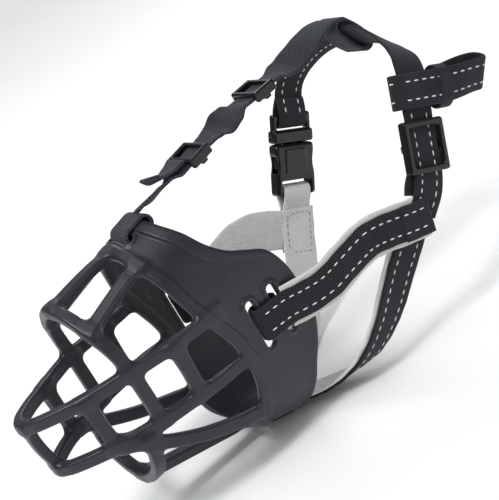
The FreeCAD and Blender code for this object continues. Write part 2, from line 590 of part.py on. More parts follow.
# Webbing round the buckle's bars, in local y, z. The bight passes through the plug's
# slot and its two layers draw together above; the loop goes through the socket's slot.
BUCKLE_WEB_T = 1.3
PLUG_BIGHT = [
    (-1.75, 44.6), (-2.1, 42.5), (-2.7, 40.0), (-2.75, 37.0), (-2.6, 34.6), (-1.5, 33.3),
    (0.0, 33.0), (1.5, 33.3), (2.6, 34.6), (2.75, 37.0), (2.7, 40.0), (2.1, 42.5),
    (1.75, 44.6)]
SOCKET_LOOP = [
    (-1.0, -8.4), (-1.9, -4.5), (-3.0, -1.3), (-3.3, 1.0), (-2.9, 3.6), (-1.5, 4.8),
    (1.5, 4.8), (2.9, 3.6), (3.3, 1.0), (3.0, -1.3), (1.9, -4.5), (1.0, -8.4)]
across, out, along = BUCKLE_AXES
for name, table in (("plug_bight", PLUG_BIGHT), ("socket_loop", SOCKET_LOOP)):
    path = [(*(BUCKLE + out * y + along * z), *across) for y, z in table]
    save(name, band(path, WEB_W, BUCKLE_WEB_T, per=2))
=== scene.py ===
import math
import bpy
import numpy as np
from mathutils import Matrix, Vector


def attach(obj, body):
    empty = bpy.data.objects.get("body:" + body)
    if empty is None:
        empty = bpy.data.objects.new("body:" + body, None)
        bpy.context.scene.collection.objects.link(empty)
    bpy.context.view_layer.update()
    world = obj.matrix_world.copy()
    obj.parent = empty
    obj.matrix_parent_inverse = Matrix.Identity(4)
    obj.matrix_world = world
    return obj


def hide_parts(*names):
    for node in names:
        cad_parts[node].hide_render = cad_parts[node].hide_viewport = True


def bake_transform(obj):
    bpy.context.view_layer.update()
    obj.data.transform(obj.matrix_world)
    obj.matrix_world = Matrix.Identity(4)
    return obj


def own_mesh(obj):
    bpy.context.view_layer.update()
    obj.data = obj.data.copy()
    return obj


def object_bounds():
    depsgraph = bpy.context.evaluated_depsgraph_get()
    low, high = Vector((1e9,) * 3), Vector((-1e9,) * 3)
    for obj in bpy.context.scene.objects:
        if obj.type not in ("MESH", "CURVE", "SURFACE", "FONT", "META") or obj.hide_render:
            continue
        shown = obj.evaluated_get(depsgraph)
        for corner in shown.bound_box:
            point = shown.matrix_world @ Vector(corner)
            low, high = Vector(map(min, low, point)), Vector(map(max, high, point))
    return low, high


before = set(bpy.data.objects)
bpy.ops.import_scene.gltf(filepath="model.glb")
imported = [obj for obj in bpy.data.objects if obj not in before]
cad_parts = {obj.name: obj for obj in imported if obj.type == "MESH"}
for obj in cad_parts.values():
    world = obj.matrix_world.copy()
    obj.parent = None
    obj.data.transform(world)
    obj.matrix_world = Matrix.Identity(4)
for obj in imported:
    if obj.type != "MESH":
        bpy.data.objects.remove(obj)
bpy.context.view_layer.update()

# ------------------------------------------------------------------ dimensions, mm
WALL = 2.8
COLLAR_Y = [-46.0, -34.0, -22.0, -8.0, 6.0, 18.0, 30.0]
COLLAR_A = [31.4, 32.7, 33.7, 34.2, 34.4, 34.3, 34.0]
COLLAR_ZT = [46.8, 49.6, 52.4, 55.4, 57.2, 58.2, 58.8]
COLLAR_ZB = [-41.5, -44.0, -47.2, -51.2, -55.0, -57.5, -59.0]
ZC = 2.0
WEB_W, WEB_T, LIN_W, LIN_T = 15.0, 1.5, 19.0, 1.3
FRONT = [(-31.0, 70.0), (-31.0, 52.0), (-30.0, 46.0), (-27.5, 36.0), (-24.5, 20.0), (-20.0, 8.0), (-17.0, -1.0), (-15.6, -10.0),
         (-15.6, -19.0), (-18.0, -30.0), (-21.0, -37.5), (-21.0, -43.5), (-17.5, -50.0), (-16.5, -70.0)]
REAR = [(4.0, -70.0), (3.4, -54.5), (7.0, -49.5), (10.4, -42.5), (13.6, -34.0), (18.6, -24.6), (22.4, -15.5), (23.2, -5.0),
        (23.2, 4.5), (22.0, 13.5), (18.4, 21.8), (11.2, 26.8), (4.2, 31.4), (-1.4, 38.2), (-5.2, 46.5), (-9.0, 52.6), (-11.5, 57.5), (-12.0, 70.0)]


def A(*v):
    return np.array(v, float)


def unit(v):
    v = np.asarray(v, float)
    return v / np.linalg.norm(v)


def smooth(x):
    x = np.clip(x, 0, 1)
    return x * x * (3 - 2 * x)


def catmull(p, t):
    n = len(p) - 1
    i = min(int(t), n - 1)
    f = t - i
    p1, p2 = p[i], p[i + 1]
    p0 = p[i - 1] if i > 0 else p1 + (p1 - p2)
    p3 = p[i + 2] if i + 2 <= n else p2 + (p2 - p1)
    d1, d2, d0 = (np.linalg.norm(v) for v in (p2 - p1, p3 - p2, p1 - p0))
    m1 = ((p1 - p0) * (d1 / d0) + (p2 - p1) * (d0 / d1)) * (d1 / (d0 + d1))
    m2 = ((p2 - p1) * (d2 / d1) + (p3 - p2) * (d1 / d2)) * (d1 / (d1 + d2))
    f2, f3 = f * f, f * f * f
    return p1 * (2 * f3 - 3 * f2 + 1) + m1 * (f3 - 2 * f2 + f) + p2 * (-2 * f3 + 3 * f2) + m2 * (f3 - f2)


def dense(path, step):
    """Evenly spaced points and width directions along a strap or bar path."""
    pts = [np.array(q[0], float) for q in path]
    wid = [unit(q[1]) for q in path]
    n = len(pts) - 1
    raw, rw = [], []
    for k in range(n * 24 + 1):
        t = k / 24
        i = min(int(t), n - 1)
        f = t - i
        f = f * f * (3 - 2 * f)
        raw.append(catmull(pts, t))
        rw.append(wid[i] * (1 - f) + wid[i + 1] * f)
    raw, rw = np.array(raw), np.array(rw)
    s = np.concatenate([[0], np.cumsum(np.linalg.norm(np.diff(raw, axis=0), axis=1))])
    m = max(4, int(round(s[-1] / step)) + 1)
    q = np.linspace(0, s[-1], m)
    return (np.stack([np.interp(q, s, raw[:, i]) for i in range(3)], 1), np.stack([np.interp(q, s, rw[:, i]) for i in range(3)], 1), q)


# ------------------------------------------------------------------ mesh from a distance field
def nets(F, origin, h):
    """Surface nets over a sampled distance field: vertices in mm and quads."""
    S = F < 0
    c = [S[dx:S.shape[0] - 1 + dx, dy:S.shape[1] - 1 + dy, dz:S.shape[2] - 1 + dz] for dx in (0, 1) for dy in (0, 1) for dz in (0, 1)]
    tot = sum(a.astype(np.uint8) for a in c)
    act = (tot > 0) & (tot < 8)
    idx = np.argwhere(act)
    ids = np.full(act.shape, -1, np.int32)
    ids[act] = np.arange(len(idx))
    corner = [(dx, dy, dz) for dx in (0, 1) for dy in (0, 1) for dz in (0, 1)]
    val = [F[idx[:, 0] + a, idx[:, 1] + b, idx[:, 2] + g].astype(float) for a, b, g in corner]
    acc, num = np.zeros((len(idx), 3)), np.zeros(len(idx))
    for i in range(8):
        for j in range(i + 1, 8):
            if sum(abs(p - q) for p, q in zip(corner[i], corner[j])) != 1:
                continue
            m = (val[i] < 0) != (val[j] < 0)
            t = np.where(m, val[i] / np.where(m, val[i] - val[j], 1), 0)
            p = np.array(corner[i], float) + (np.array(corner[j], float) - np.array(corner[i], float)) * t[:, None]
            acc += p * m[:, None]
            num += m
    verts = (idx + acc / num[:, None]) * h + origin
    quads = []
    for ax in range(3):
        lo_ = [slice(None)] * 3
        hi_ = [slice(None)] * 3
        lo_[ax], hi_[ax] = slice(0, -1), slice(1, None)
        a, b = S[tuple(lo_)], S[tuple(hi_)]
        e = np.argwhere(a != b)
        o1, o2 = [(1, 2), (2, 0), (0, 1)][ax]
        e = e[(e[:, o1] > 0) & (e[:, o2] > 0) & (e[:, o1] < S.shape[o1] - 1) & (e[:, o2] < S.shape[o2] - 1)]
        inside = a[e[:, 0], e[:, 1], e[:, 2]]

        def cell(d1, d2):
            q = e.copy()
            q[:, o1] -= d1
            q[:, o2] -= d2
            return ids[q[:, 0], q[:, 1], q[:, 2]]
        f = np.stack([cell(1, 1), cell(0, 1), cell(0, 0), cell(1, 0)], 1)
        f[~inside] = f[~inside][:, ::-1]
        quads.append(f)
    return verts, np.concatenate(quads)


def relax(verts, quads, rounds=2, lam=0.5):
    n = len(verts)
    e = np.concatenate([quads[:, [0, 1]], quads[:, [1, 2]], quads[:, [2, 3]], quads[:, [3, 0]]])
    deg = np.bincount(e.ravel(), minlength=n).astype(float)
    for k in range(rounds * 2):
        acc = np.zeros_like(verts)
        for i in range(3):
            acc[:, i] = np.bincount(e[:, 0], verts[e[:, 1], i], n) + np.bincount(e[:, 1], verts[e[:, 0], i], n)
        verts = verts + (acc / deg[:, None] - verts) * (lam if k % 2 == 0 else -lam * 1.02)
    return verts


def mesh_object(name, verts, faces, smooth_shade=True):
    """A mesh from vertices in mm."""
    me = bpy.data.meshes.new(name)
    me.from_pydata((np.asarray(verts) / 1000.0).tolist(), [], [tuple(int(i) for i in f) for f in faces])
    me.update()
    if smooth_shade:
        me.polygons.foreach_set("use_smooth", [True] * len(me.polygons))
    ob = bpy.data.objects.new(name, me)
    bpy.context.scene.collection.objects.link(ob)
    return ob


def smin(a, b, k):
    h = np.maximum(k - np.abs(a - b), 0) / k
    return np.minimum(a, b) - h * h * k * 0.25


def smax(a, b, k):
    return -smin(-a, -b, k)


# ------------------------------------------------------------------ the basket
HS = 0.5
Y0, Y1, Z0, Z1, X1 = -106.0, 27.0, -59.0, 63.5, 39.5
xs = (np.arange(int(X1 / HS)) + 0.5) * HS
ys = np.arange(Y0, Y1, HS)
zs = np.arange(Z0, Z1, HS)


def fitc(v):
    return np.polyval(np.polyfit(COLLAR_Y, v, 3), np.clip(ys, -46, 30))


def outline_sdf():
    """Signed distance in the side view to the collar outline, and the distances to its front and rear edges."""
    Y, Z = np.meshgrid(ys, zs, indexing="ij")
    P = np.stack([Y, Z], -1)

    def curve(pts):
        p = [np.array((y, z), float) for y, z in pts]
        return np.array([catmull(p, t) for t in np.linspace(0, len(p) - 1, (len(p) - 1) * 8 + 1)])
    fr, re = curve(FRONT), curve(REAR)

    def dist(c):
        best = np.full(Y.shape, 1e9)
        for a, b in zip(c[:-1], c[1:]):
            d = b - a
            t = np.clip(((P - a) @ d) / (d @ d), 0, 1)
            best = np.minimum(best, np.hypot(*np.moveaxis(P - a - t[..., None] * d, -1, 0)))
        return best
    df, dr = dist(fr), dist(re)
    poly = np.concatenate([fr, re])
    inside = np.zeros(Y.shape, bool)
    for a, b in zip(poly, np.roll(poly, -1, 0)):
        m = (a[1] > Z) != (b[1] > Z)
        inside ^= m & (Y < (b[0] - a[0]) * (Z - a[1]) / (b[1] - a[1] if b[1] != a[1] else 1e-9) + a[0])
    d = np.minimum(df, dr)
    return np.where(inside, -d, d), df, dr


def stadium2(u, v, length, width):
    """2-D slot: long direction v."""
    return np.hypot(u, np.maximum(np.abs(v) - (length - width) / 2, 0)) - width / 2


aa, ht, hb = fitc(COLLAR_A), fitc(COLLAR_ZT) - ZC, ZC - fitc(COLLAR_ZB)
X = xs[:, None, None]
Yg = ys[None, :, None]
Zg = zs[None, None, :]
nn = np.where(zs >= ZC, 2.0, 2.7)[None, None, :]
hh = np.where(zs[None, :] >= ZC, ht[:, None], hb[:, None])[None]
f = ((X / aa[None, :, None]) ** nn + (np.abs(Zg - ZC) / hh + 1e-6) ** nn) ** (1 / nn) - 1
g = np.gradient(f, HS)
g = np.sqrt(g[0] ** 2 + g[1] ** 2 + g[2] ** 2)
mid = f / np.maximum(g, 0.004)
del g, f
out2, dfr, dre = outline_sdf()
slots2 = np.minimum(stadium2(ys[:, None] + 2.2, zs[None] + 1.5, 23.0, 4.2), stadium2(ys[:, None] - 9.8, zs[None] + 1.5, 23.0, 4.2))
brow2 = stadium2(ys[None, :] + 21.3, xs[:, None], 18.0, 5.0)
chin2 = stadium2(ys[None, :] + 12.2, xs[:, None], 18.0, 4.6)
lip = 1.15 * smooth((6.4 - dre) / 1.0) * smooth((zs[None] - 24) / 16)
lip = lip + 0.35 * smooth((4.0 - dre) / 1.6) * (1 - smooth((zs[None] - 24) / 16))
lip = lip + 0.95 * smooth((5.6 - dfr) / 1.0)
lip = lip + 0.9 * smooth((2.5 - slots2) / 1.0)
lip3 = lip[None] + (0.8 * smooth((2.4 - brow2) / 1.2))[:, :, None] * (Zg > 30) + (0.8 * smooth((2.4 - chin2) / 1.2))[:, :, None] * (Zg < -30)
F = smax(mid - (WALL / 2 + lip3), -mid - (WALL / 2 + 0.25 * lip3), 1.0)
F = smax(F, out2[None], 2.0)
del mid, lip3
F = F.astype(np.float32)


def add_bar(F, path, w=5.7, t=4.6, r=1.15, k=3.3, flare=0.0, fade=(0.0, 0.0), mirror=True):
    """Blend a cage bar into the field with a soft fillet."""
    pos, wd, s = dense(path, 1.6)
    full = s[-1]
    tn = np.gradient(pos, axis=0)
    tn /= np.linalg.norm(tn, axis=1)[:, None]
    wd = wd - tn * np.sum(wd * tn, 1)[:, None]
    wd /= np.linalg.norm(wd, axis=1)[:, None]
    nr = np.cross(tn, wd)
    if mirror:
        keep = np.where(pos[:, 0] > -6)[0]
        pos, wd, nr, tn, s = pos[keep], wd[keep], nr[keep], tn[keep], s[keep]
    pad = w / 2 + 7.0
    b0, b1 = pos.min(0) - pad, pos.max(0) + pad

    def sl(axis, a, b):
        return slice(max(0, int(np.searchsorted(axis, a))), max(0, int(np.searchsorted(axis, b))))
    D = None
    S0 = (sl(xs, b0[0], b1[0]), sl(ys, b0[1], b1[1]), sl(zs, b0[2], b1[2]))
    D = np.full(F[S0].shape, 30.0, np.float32)
    send = s[-1]
    for i in range(len(pos) - 1):
        a, b = pos[i], pos[i + 1]
        tt = t
        if fade[0]:
            tt = min(tt, 1.6 + (t - 1.6) * smooth((s[i] - 1.0) / fade[0]))
        if fade[1]:
            tt = min(tt, 1.6 + (t - 1.6) * smooth((full - s[i] - 1.0) / fade[1]))
        rr = min(r, tt / 2 - 0.1)
        if np.linalg.norm(b - a) > 4:
            continue
        q0, q1 = np.minimum(a, b) - pad, np.maximum(a, b) + pad
        S1 = (sl(xs, q0[0], q1[0]), sl(ys, q0[1], q1[1]), sl(zs, q0[2], q1[2]))
        if any(v.stop <= v.start for v in S1):
            continue
        px, py, pz = xs[S1[0]][:, None, None] - a[0], ys[S1[1]][None, :, None] - a[1], zs[S1[2]][None, None, :] - a[2]
        d = b - a
        hq = np.clip((px * d[0] + py * d[1] + pz * d[2]) / (d @ d), 0, 1)
        dx, dy, dz = px - hq * d[0], py - hq * d[1], pz - hq * d[2]
        W, N, T = unit(wd[i] + wd[i + 1]), unit(nr[i] + nr[i + 1]), unit(d)
        ww = w
        if flare:
            e = min(s[i] - s[0], send - s[i])
            ww = w + flare * math.exp(-e / 5.0)
        dw = np.abs(dx * W[0] + dy * W[1] + dz * W[2]) - (ww / 2 - rr)
        dn = np.abs(dx * N[0] + dy * N[1] + dz * N[2]) - (tt / 2 - rr)
        dt = dx * T[0] + dy * T[1] + dz * T[2]
        v = np.sqrt(np.maximum(dw, 0) ** 2 + np.maximum(dn, 0) ** 2 + dt ** 2) + np.minimum(np.maximum(dw, dn), 0) - rr
        S2 = tuple(slice(v1.start - v0.start, v1.stop - v0.start) for v0, v1 in zip(S0, S1))
        D[S2] = np.minimum(D[S2], v)
    F[S0] = smin(F[S0], D, k)


def both(path):
    return path + [((-p[0], p[1], p[2]), w) for p, w in path[:-1]][::-1]


L1 = [((33.9, -14.0, 14.7), (0, 0, 1)), ((33.6, -20.0, 14.7), (0, 0, 1)), ((32.4, -33.0, 14.8), (0, 0, 1)), ((30.6, -46.0, 15.3), (0, 0, 1)), ((28.0, -58.0, 15.9), (0, 0, 1)),
      ((23.6, -69.5, 15.7), (0, 0, 1)), ((18.2, -80.0, 15.6), (0, 0, 1)), ((11.6, -90.6, 15.9), (0, 0, 1)), ((5.6, -97.2, 16.0), (0, 0, 1)), ((0.0, -99.2, 16.0), (0, 0, 1))]
L2 = [((33.9, -14.5, -10.4), (0, 0, 1)), ((32.9, -30.0, -9.9), (0, 0, 1)), ((30.9, -45.0, -9.5), (0, 0, 1)), ((28.2, -57.8, -9.2), (0, 0, 1)),
      ((23.8, -69.0, -9.0), (0, 0, 1)), ((18.2, -79.0, -8.8), (0, 0, 1)), ((11.4, -88.6, -8.5), (0, 0, 1)), ((5.4, -94.6, -8.3), (0, 0, 1)), ((0.0, -96.4, -8.2), (0, 0, 1))]
ARCH = [((28.2, -57.8, -10.0), (0, 1, 0)), ((28.5, -57.6, 4.0), (0, 1, 0)), ((28.0, -57.8, 15.5), (0, 1, 0)), ((25.9, -58.8, 26.0), (0, 1, 0)),
        ((18.9, -60.6, 36.4), (0, 1, 0)), ((10.0, -62.0, 43.9), (0, 1, 0)), ((0.0, -62.8, 47.2), (0, 1, 0))]
HOOP = [((25.6, -65.5, -13.0), (0, 1, 0)), ((25.2, -66.6, -19.5), (0, 1, 0)), ((22.0, -67.2, -26.0), (0, 1, 0)), ((15.6, -67.4, -31.0), (0, 1, 0)),
        ((8.0, -67.4, -34.6), (0, 1, 0)), ((0.0, -67.4, -35.8), (0, 1, 0))]
for p in (L1, L2):
    add_bar(F, both(p), fade=(13.0, 0.0))
for p in (ARCH, HOOP):
    add_bar(F, both(p))
add_bar(F, [((0, -25.0, 51.4), (1, 0, 0)), ((0, -45.0, 49.8), (1, 0, 0)), ((0, -62.8, 47.0), (1, 0, 0))], w=6.2, flare=1.6, fade=(10.0, 0.0))
add_bar(F, [((16.6, -26.0, 45.8), (1, 0, -0.6)), ((17.6, -44.0, 41.2), (1, 0, -0.6)), ((19.0, -60.6, 36.3), (1, 0, -0.6))], flare=1.6, fade=(9.0, 0.0))
add_bar(F, [((32.6, -38.2, 14.9), (0, 1, 0)), ((32.9, -38.4, 2.5), (0, 1, 0)), ((32.3, -38.8, -9.6), (0, 1, 0))], flare=1.6)
add_bar(F, [((19.6, -77.6, 15.6), (0.45, 1, 0)), ((19.9, -77.4, 3.5), (0.45, 1, 0)), ((19.6, -76.8, -8.8), (0.45, 1, 0))], flare=1.6)
add_bar(F, [((0, -98.6, 16.0), (1, 0, 0)), ((0, -98.2, 4.0), (1, 0, 0)), ((0, -95.8, -8.2), (1, 0, 0))], flare=1.6)
add_bar(F, [((29.2, -15.0, -36.4), (0, 0.25, 1)), ((29.7, -31.0, -31.2), (0, 0.25, 1)), ((29.2, -46.0, -25.4), (0, 0.3, 1)), ((27.6, -58.0, -19.2), (0, 0.45, 1)),
            ((25.2, -67.5, -13.2), (0, 0.5, 1)), ((21.4, -74.5, -9.2), (0, 0.5, 1))], flare=1.4, fade=(12.0, 0.0))
add_bar(F, [((0, -67.4, -35.8), (1, 0, 0)), ((0, -50.0, -40.2), (1, 0, 0)), ((0, -33.0, -44.4), (1, 0, 0)), ((0, -14.0, -49.2), (1, 0, 0))], w=8.0, flare=1.4, fade=(0.0, 12.0))
F = smax(F, -slots2[None].astype(np.float32), 1.2)
F = np.where(Zg > 30, smax(F, -brow2[:, :, None].astype(np.float32), 1.2), F)
F = np.where((Zg < -30) & (Yg > -25), smax(F, -chin2[:, :, None].astype(np.float32), 1.2), F)
F = np.concatenate([F[::-1], F], 0)
bv, bq = nets(F, np.array([-xs[-1], ys[0], zs[0]]), HS)
del F
bv = relax(bv, bq, 3)
basket = mesh_object("basket_moulding", bv, bq)


# ------------------------------------------------------------------ webbing
def ribbon(name, pos, wdir, s, width=WEB_W, thick=WEB_T, off=0.0, closed=False, rows=(), faces=(1, -1), wav=0.12, seed=0.0, span=None, cuts=(), pitch=4.1, puff=0.0, boxes=()):
    """Woven band with rounded edges, slight unevenness and real stitches. rows: stitch offsets across the band. span: share of the length that is stitched."""
    n = len(pos)
    if closed:
        tn = np.roll(pos, -1, 0) - np.roll(pos, 1, 0)
    else:
        tn = np.gradient(pos, axis=0)
    tn = tn / np.linalg.norm(tn, axis=1)[:, None]
    wd = wdir - tn * np.sum(wdir * tn, 1)[:, None]
    wd /= np.linalg.norm(wd, axis=1)[:, None]
    nr = np.cross(tn, wd)
    ph = 2 * math.pi * s / 23.0 + seed
    lift = off + wav * (np.sin(ph) + 0.5 * np.sin(2.7 * ph + 1.3 * seed))
    if closed:
        lift = off + wav * np.sin(2 * math.pi * np.arange(n) / n * 3 + seed)
    wob = 1 + 0.012 * np.sin(2 * math.pi * s / 11.0 + seed * 2) * (0 if closed else 1)
    e = thick / 2
    m = 11
    top = [(u, e * (1 + puff * (1 - (2 * u / width) ** 2))) for u in np.linspace(-width / 2 + e, width / 2 - e, m)]
    arc = [(width / 2 - e + e * math.sin(a), e * math.cos(a)) for a in np.linspace(0, math.pi, 7)[1:-1]]
    sec = top + arc + [(-u, -v) for u, v in top] + [(-u, -v) for u, v in arc]
    sec = np.array(sec)
    K = len(sec)
    V = pos[:, None] + wd[:, None] * (sec[None, :, 0:1] * wob[:, None, None]) + nr[:, None] * (sec[None, :, 1:2] + lift[:, None, None])
    V = V.reshape(-1, 3)
    faces_, uv = [], []
    ring = n if closed else n - 1
    for i in range(ring):
        j = (i + 1) % n
        s0, s1 = s[i], (s[j] if j > i else s[i] + (s[1] - s[0]))
        for k in range(K):
            k2 = (k + 1) % K
            faces_.append((i * K + k, i * K + k2, j * K + k2, j * K + k))
            uv += [(s0, sec[k, 0]), (s0, sec[k2, 0]), (s1, sec[k2, 0]), (s1, sec[k, 0])]
    mats = [0] * len(faces_)
    if not closed:
        faces_.append(tuple(range(K - 1, -1, -1)))
        uv += [(0, 0)] * K
        faces_.append(tuple((n - 1) * K + k for k in range(K)))
        uv += [(0, 0)] * K
        mats += [0, 0]
    extra, ef, euv = [], [], []
    base = len(V)

    def at(q, arr):
        return np.stack([np.interp(q, s, arr[:, i]) for i in range(3)], -1)

    def stitch(q, u, face, length=2.3, across=False, rad=0.36):
        """One thread float, a small bean lying on the band."""
        prof = [0.25, 0.85, 1.0, 0.85, 0.25]
        b0 = base + len(extra)
        for a, r in zip(np.linspace(-0.5, 0.5, 5), prof):
            qa = q if across else q + a * length
            ua = u + (a * length if across else 0)
            p, w_, n_, t_ = at(qa, pos), at(qa, wd), at(qa, nr), at(qa, tn)
            lf = float(np.interp(qa, s, lift))
            c = p + w_ * ua + n_ * (lf + face * (e * (1 + puff * 0.9) + 0.02))
            side = t_ if across else w_
            for g_ in range(6):
                an = 2 * math.pi * g_ / 6
                extra.append(c + side * (math.cos(an) * rad * r) + n_ * (math.sin(an) * rad * r * 0.8))
        for i in range(4):
            for g_ in range(6):
                ef.append((b0 + i * 6 + g_, b0 + i * 6 + (g_ + 1) % 6, b0 + (i + 1) * 6 + (g_ + 1) % 6, b0 + (i + 1) * 6 + g_))
        ef.append(tuple(b0 + g_ for g_ in range(5, -1, -1)))
        ef.append(tuple(b0 + 24 + g_ for g_ in range(6)))
    L = s[-1]
    a0, a1 = span or (0.02, 0.98)
    for u in rows:
        q = a0 * L + 1.4 + (0.7 if u > 0 else 0)
        while q < a1 * L - 1.4:
            if not any(c0 <= q <= c1 for c0, c1 in cuts):
                for fc in faces:
                    stitch(q, u, fc)
            q += pitch
    for (q0, q1, hw, fc) in boxes:
        q = q0
        while q <= q1 + 0.01:
            for u in (-hw, hw):
                stitch(q, u, fc, length=1.9, rad=0.3)
            q += 2.9
        for qq in (q0 - 1.2, q1 + 1.2):
            u = -hw + 1.2
            while u < hw - 0.8:
                stitch(qq, u, fc, length=1.7, across=True, rad=0.3)
                u += 2.7
    allv = np.concatenate([V, np.array(extra).reshape(-1, 3)]) if extra else V
    ob = mesh_object(name, allv, faces_ + ef)
    me = ob.data
    lay = me.uv_layers.new(name="weave")
    euv = uv + [(0.0, 0.0)] * (len(me.loops) - len(uv))
    lay.data.foreach_set("uv", np.array(euv, np.float32).ravel())
    me.polygons.foreach_set("material_index", mats + [1] * len(ef))
    me.update()
    return ob


def run(name, path, step=0.9, **kw):
    p, w, s = dense(path, step)
    return ribbon(name, p, w, s, **kw)


def stadium_path(o, d, n, lo_, hi_, half, step=0.8, bow=0.0):
    o, d, n = A(*o), unit(d), unit(n)
    pts = []
    L = hi_ - lo_
    m = max(4, int(L / step))
    for i in range(m):
        t = i / m
        pts.append(o + d * (lo_ + L * t) + n * (half + bow * math.sin(math.pi * t)))
    ma = max(8, int(math.pi * half / step))
    for i in range(ma):
        t = math.pi * i / ma
        pts.append(o + d * (hi_ + half * math.sin(t)) + n * (half * math.cos(t)))
    for i in range(m):
        t = i / m
        pts.append(o + d * (hi_ - L * t) - n * (half + bow * math.sin(math.pi * t)))
    for i in range(ma):
        t = math.pi * i / ma
        pts.append(o + d * (lo_ - half * math.sin(t)) - n * (half * math.cos(t)))
    pts = np.array(pts)
    s = np.concatenate([[0], np.cumsum(np.linalg.norm(np.diff(pts, axis=0), axis=1))])
    return pts, s


CHEEK_RETURN = [(34.6, 10.0), (32.6, 9.9), (31.3, 8.8), (31.0, 6.0), (31.0, 2.0), (31.3, -0.9), (32.8, -2.4), (35.2, -2.5), (37.0, -1.6), (37.6, 1.0)]
CHEEK_L = [((38.0, 5.0, -2.0), (0, 0.03, 1)), ((38.5, 11.0, -2.3), (0, 0.08, 1)), ((40.6, 19.5, -3.4), (0, 0.02, 1)), ((45.0, 30.0, -2.8), (0, -0.2, 1)),
           ((48.6, 42.0, 0.6), (0, -0.25, 1)), ((49.9, 53.0, 2.2), (0, 0.1, 1)), ((50.2, 64.0, -0.2), (0, 0.36, 1)), ((51.2, 74.0, -3.2), (0, 0.34, 1)), ((52.2, 83.4, -5.4), (0, 0.30, 1))]
CHEEK_R = [((-38.0, 5.0, -2.0), (0, 0.03, 1)), ((-38.5, 11.0, -2.2), (0, 0.03, 1)), ((-40.4, 20.0, -2.0), (0, -0.1, 1)), ((-43.4, 32.0, 0.2), (0, -0.15, 1)),
           ((-45.6, 44.0, 1.2), (0, 0.1, 1)), ((-46.9, 55.0, -1.6), (0, 0.4, 1)), ((-47.6, 64.0, -6.9), (0, 0.6, 1)), ((-48.4, 74.0, -13.5), (0, 0.65, 1))]
CHIN_L = [((49.0, 79.5, -4.6), (0.05, -0.7, 0.71)), ((47.4, 72.0, -12.0), (0.05, -0.7, 0.71)), ((45.4, 63.0, -20.6), (0.05, -0.74, 0.66)), ((44.0, 54.2, -28.8), (0.1, -0.76, 0.62)), ((41.4, 45.4, -37.6), (0.25, -0.74, 0.6)),
          ((37.0, 37.4, -44.6), (0.42, -0.72, 0.55)), ((31.0, 31.0, -49.6), (0.55, -0.72, 0.42)), ((24.0, 25.4, -52.6), (0.62, -0.72, 0.3)), ((16.0, 18.0, -54.2), (0.68, -0.70, 0.22)),
          ((8.0, 10.0, -54.2), (0.72, -0.66, 0.2)), ((2.6, 3.6, -53.4), (0.75, -0.62, 0.2))]
CHIN_R = [((-46.9, 75.4, -14.9), (0, -0.87, 0.49)), ((-46.3, 71.4, -21.9), (0, -0.86, 0.5)), ((-43.8, 62.2, -36.0), (-0.05, -0.84, 0.52)), ((-40.4, 54.4, -44.0), (-0.2, -0.8, 0.55)), ((-36.2, 45.8, -49.6), (-0.35, -0.8, 0.48)),
          ((-30.6, 37.0, -52.8), (-0.5, -0.78, 0.35)), ((-24.0, 28.4, -54.4), (-0.6, -0.76, 0.24)), ((-16.4, 20.0, -55.0), (-0.68, -0.70, 0.16)), ((-9.0, 11.8, -54.6), (-0.71, -0.68, 0.14)), ((-3.0, 4.6, -53.0), (-0.74, -0.66, 0.14))]
NS_O, NU = A(50.0, 98.5, 19.0), unit((-0.0998, 0.419, 0.902))
NW = (0, -0.907, 0.421)


def NP(s):
    return tuple(NS_O + NU * s)


NECK_L = [((49.6, 82.0, -4.8), (0, -0.76, 0.65)), ((50.9, 88.4, 0.8), (0, -0.82, 0.57)), (NP(-13), NW), (NP(-5), NW), (NP(5), NW), (NP(15), NW), (NP(24), NW), (NP(31), NW), ((42.0, 115.8, 52.8), (0, -0.8, 0.6)),
          ((33.4, 118.6, 57.4), (0, -0.68, 0.73)), ((24.6, 120.3, 60.6), (0, -0.58, 0.81)), ((15.0, 121.1, 62.6), (0, -0.5, 0.86)), ((8.0, 121.3, 63.1), (0, -0.5, 0.86)), ((0.1, 121.4, 63.2), (0, -0.5, 0.86))]
BK_O, BU = A(-48.0, 84.0, 0.0), unit((0.068, 0.457, 0.887))


def axes(u, outward):
    c = unit(u)
    b = unit(np.asarray(outward, float) - c * np.dot(outward, c))
    return np.cross(b, c), b, c


ba, bb, bc = axes(BU, (-1, 0, 0))


def BP(s):
    return tuple(BK_O + BU * s)


BW = (0, -0.889, 0.458)
NECK_R = [((-0.1, 121.4, 63.2), (0, -0.5, 0.86)), ((-8.0, 121.2, 63.1), (0, -0.5, 0.86)), ((-15.0, 120.4, 62.6), (0, -0.52, 0.86)), ((-24.0, 117.8, 60.0), (0, -0.6, 0.8)), ((-33.0, 114.0, 55.6), (0, -0.7, 0.7)),
          ((-40.2, 110.0, 50.0), (0, -0.8, 0.6)), (BP(48.0), BW), (BP(45.6), BW)]
FORE_LO = [((0, -9.6, 57.9), (0.94, 0, 0.34)), ((0, -5.0, 58.9), (0.94, 0, 0.34)), ((0, 2.0, 58.9), (0.9, 0, 0.44)), ((0, 9.5, 59.9), (0.94, 0, 0.34)), ((0, 15.0, 60.97), (1, 0, 0)),
           ((0, 20.0, 61.79), (1, 0, 0)), ((0, 31.0, 63.61), (1, 0, 0)), ((0, 36.0, 64.43), (1, 0, -0.04)), ((0, 40.3, 65.1), (1, 0, -0.18))]
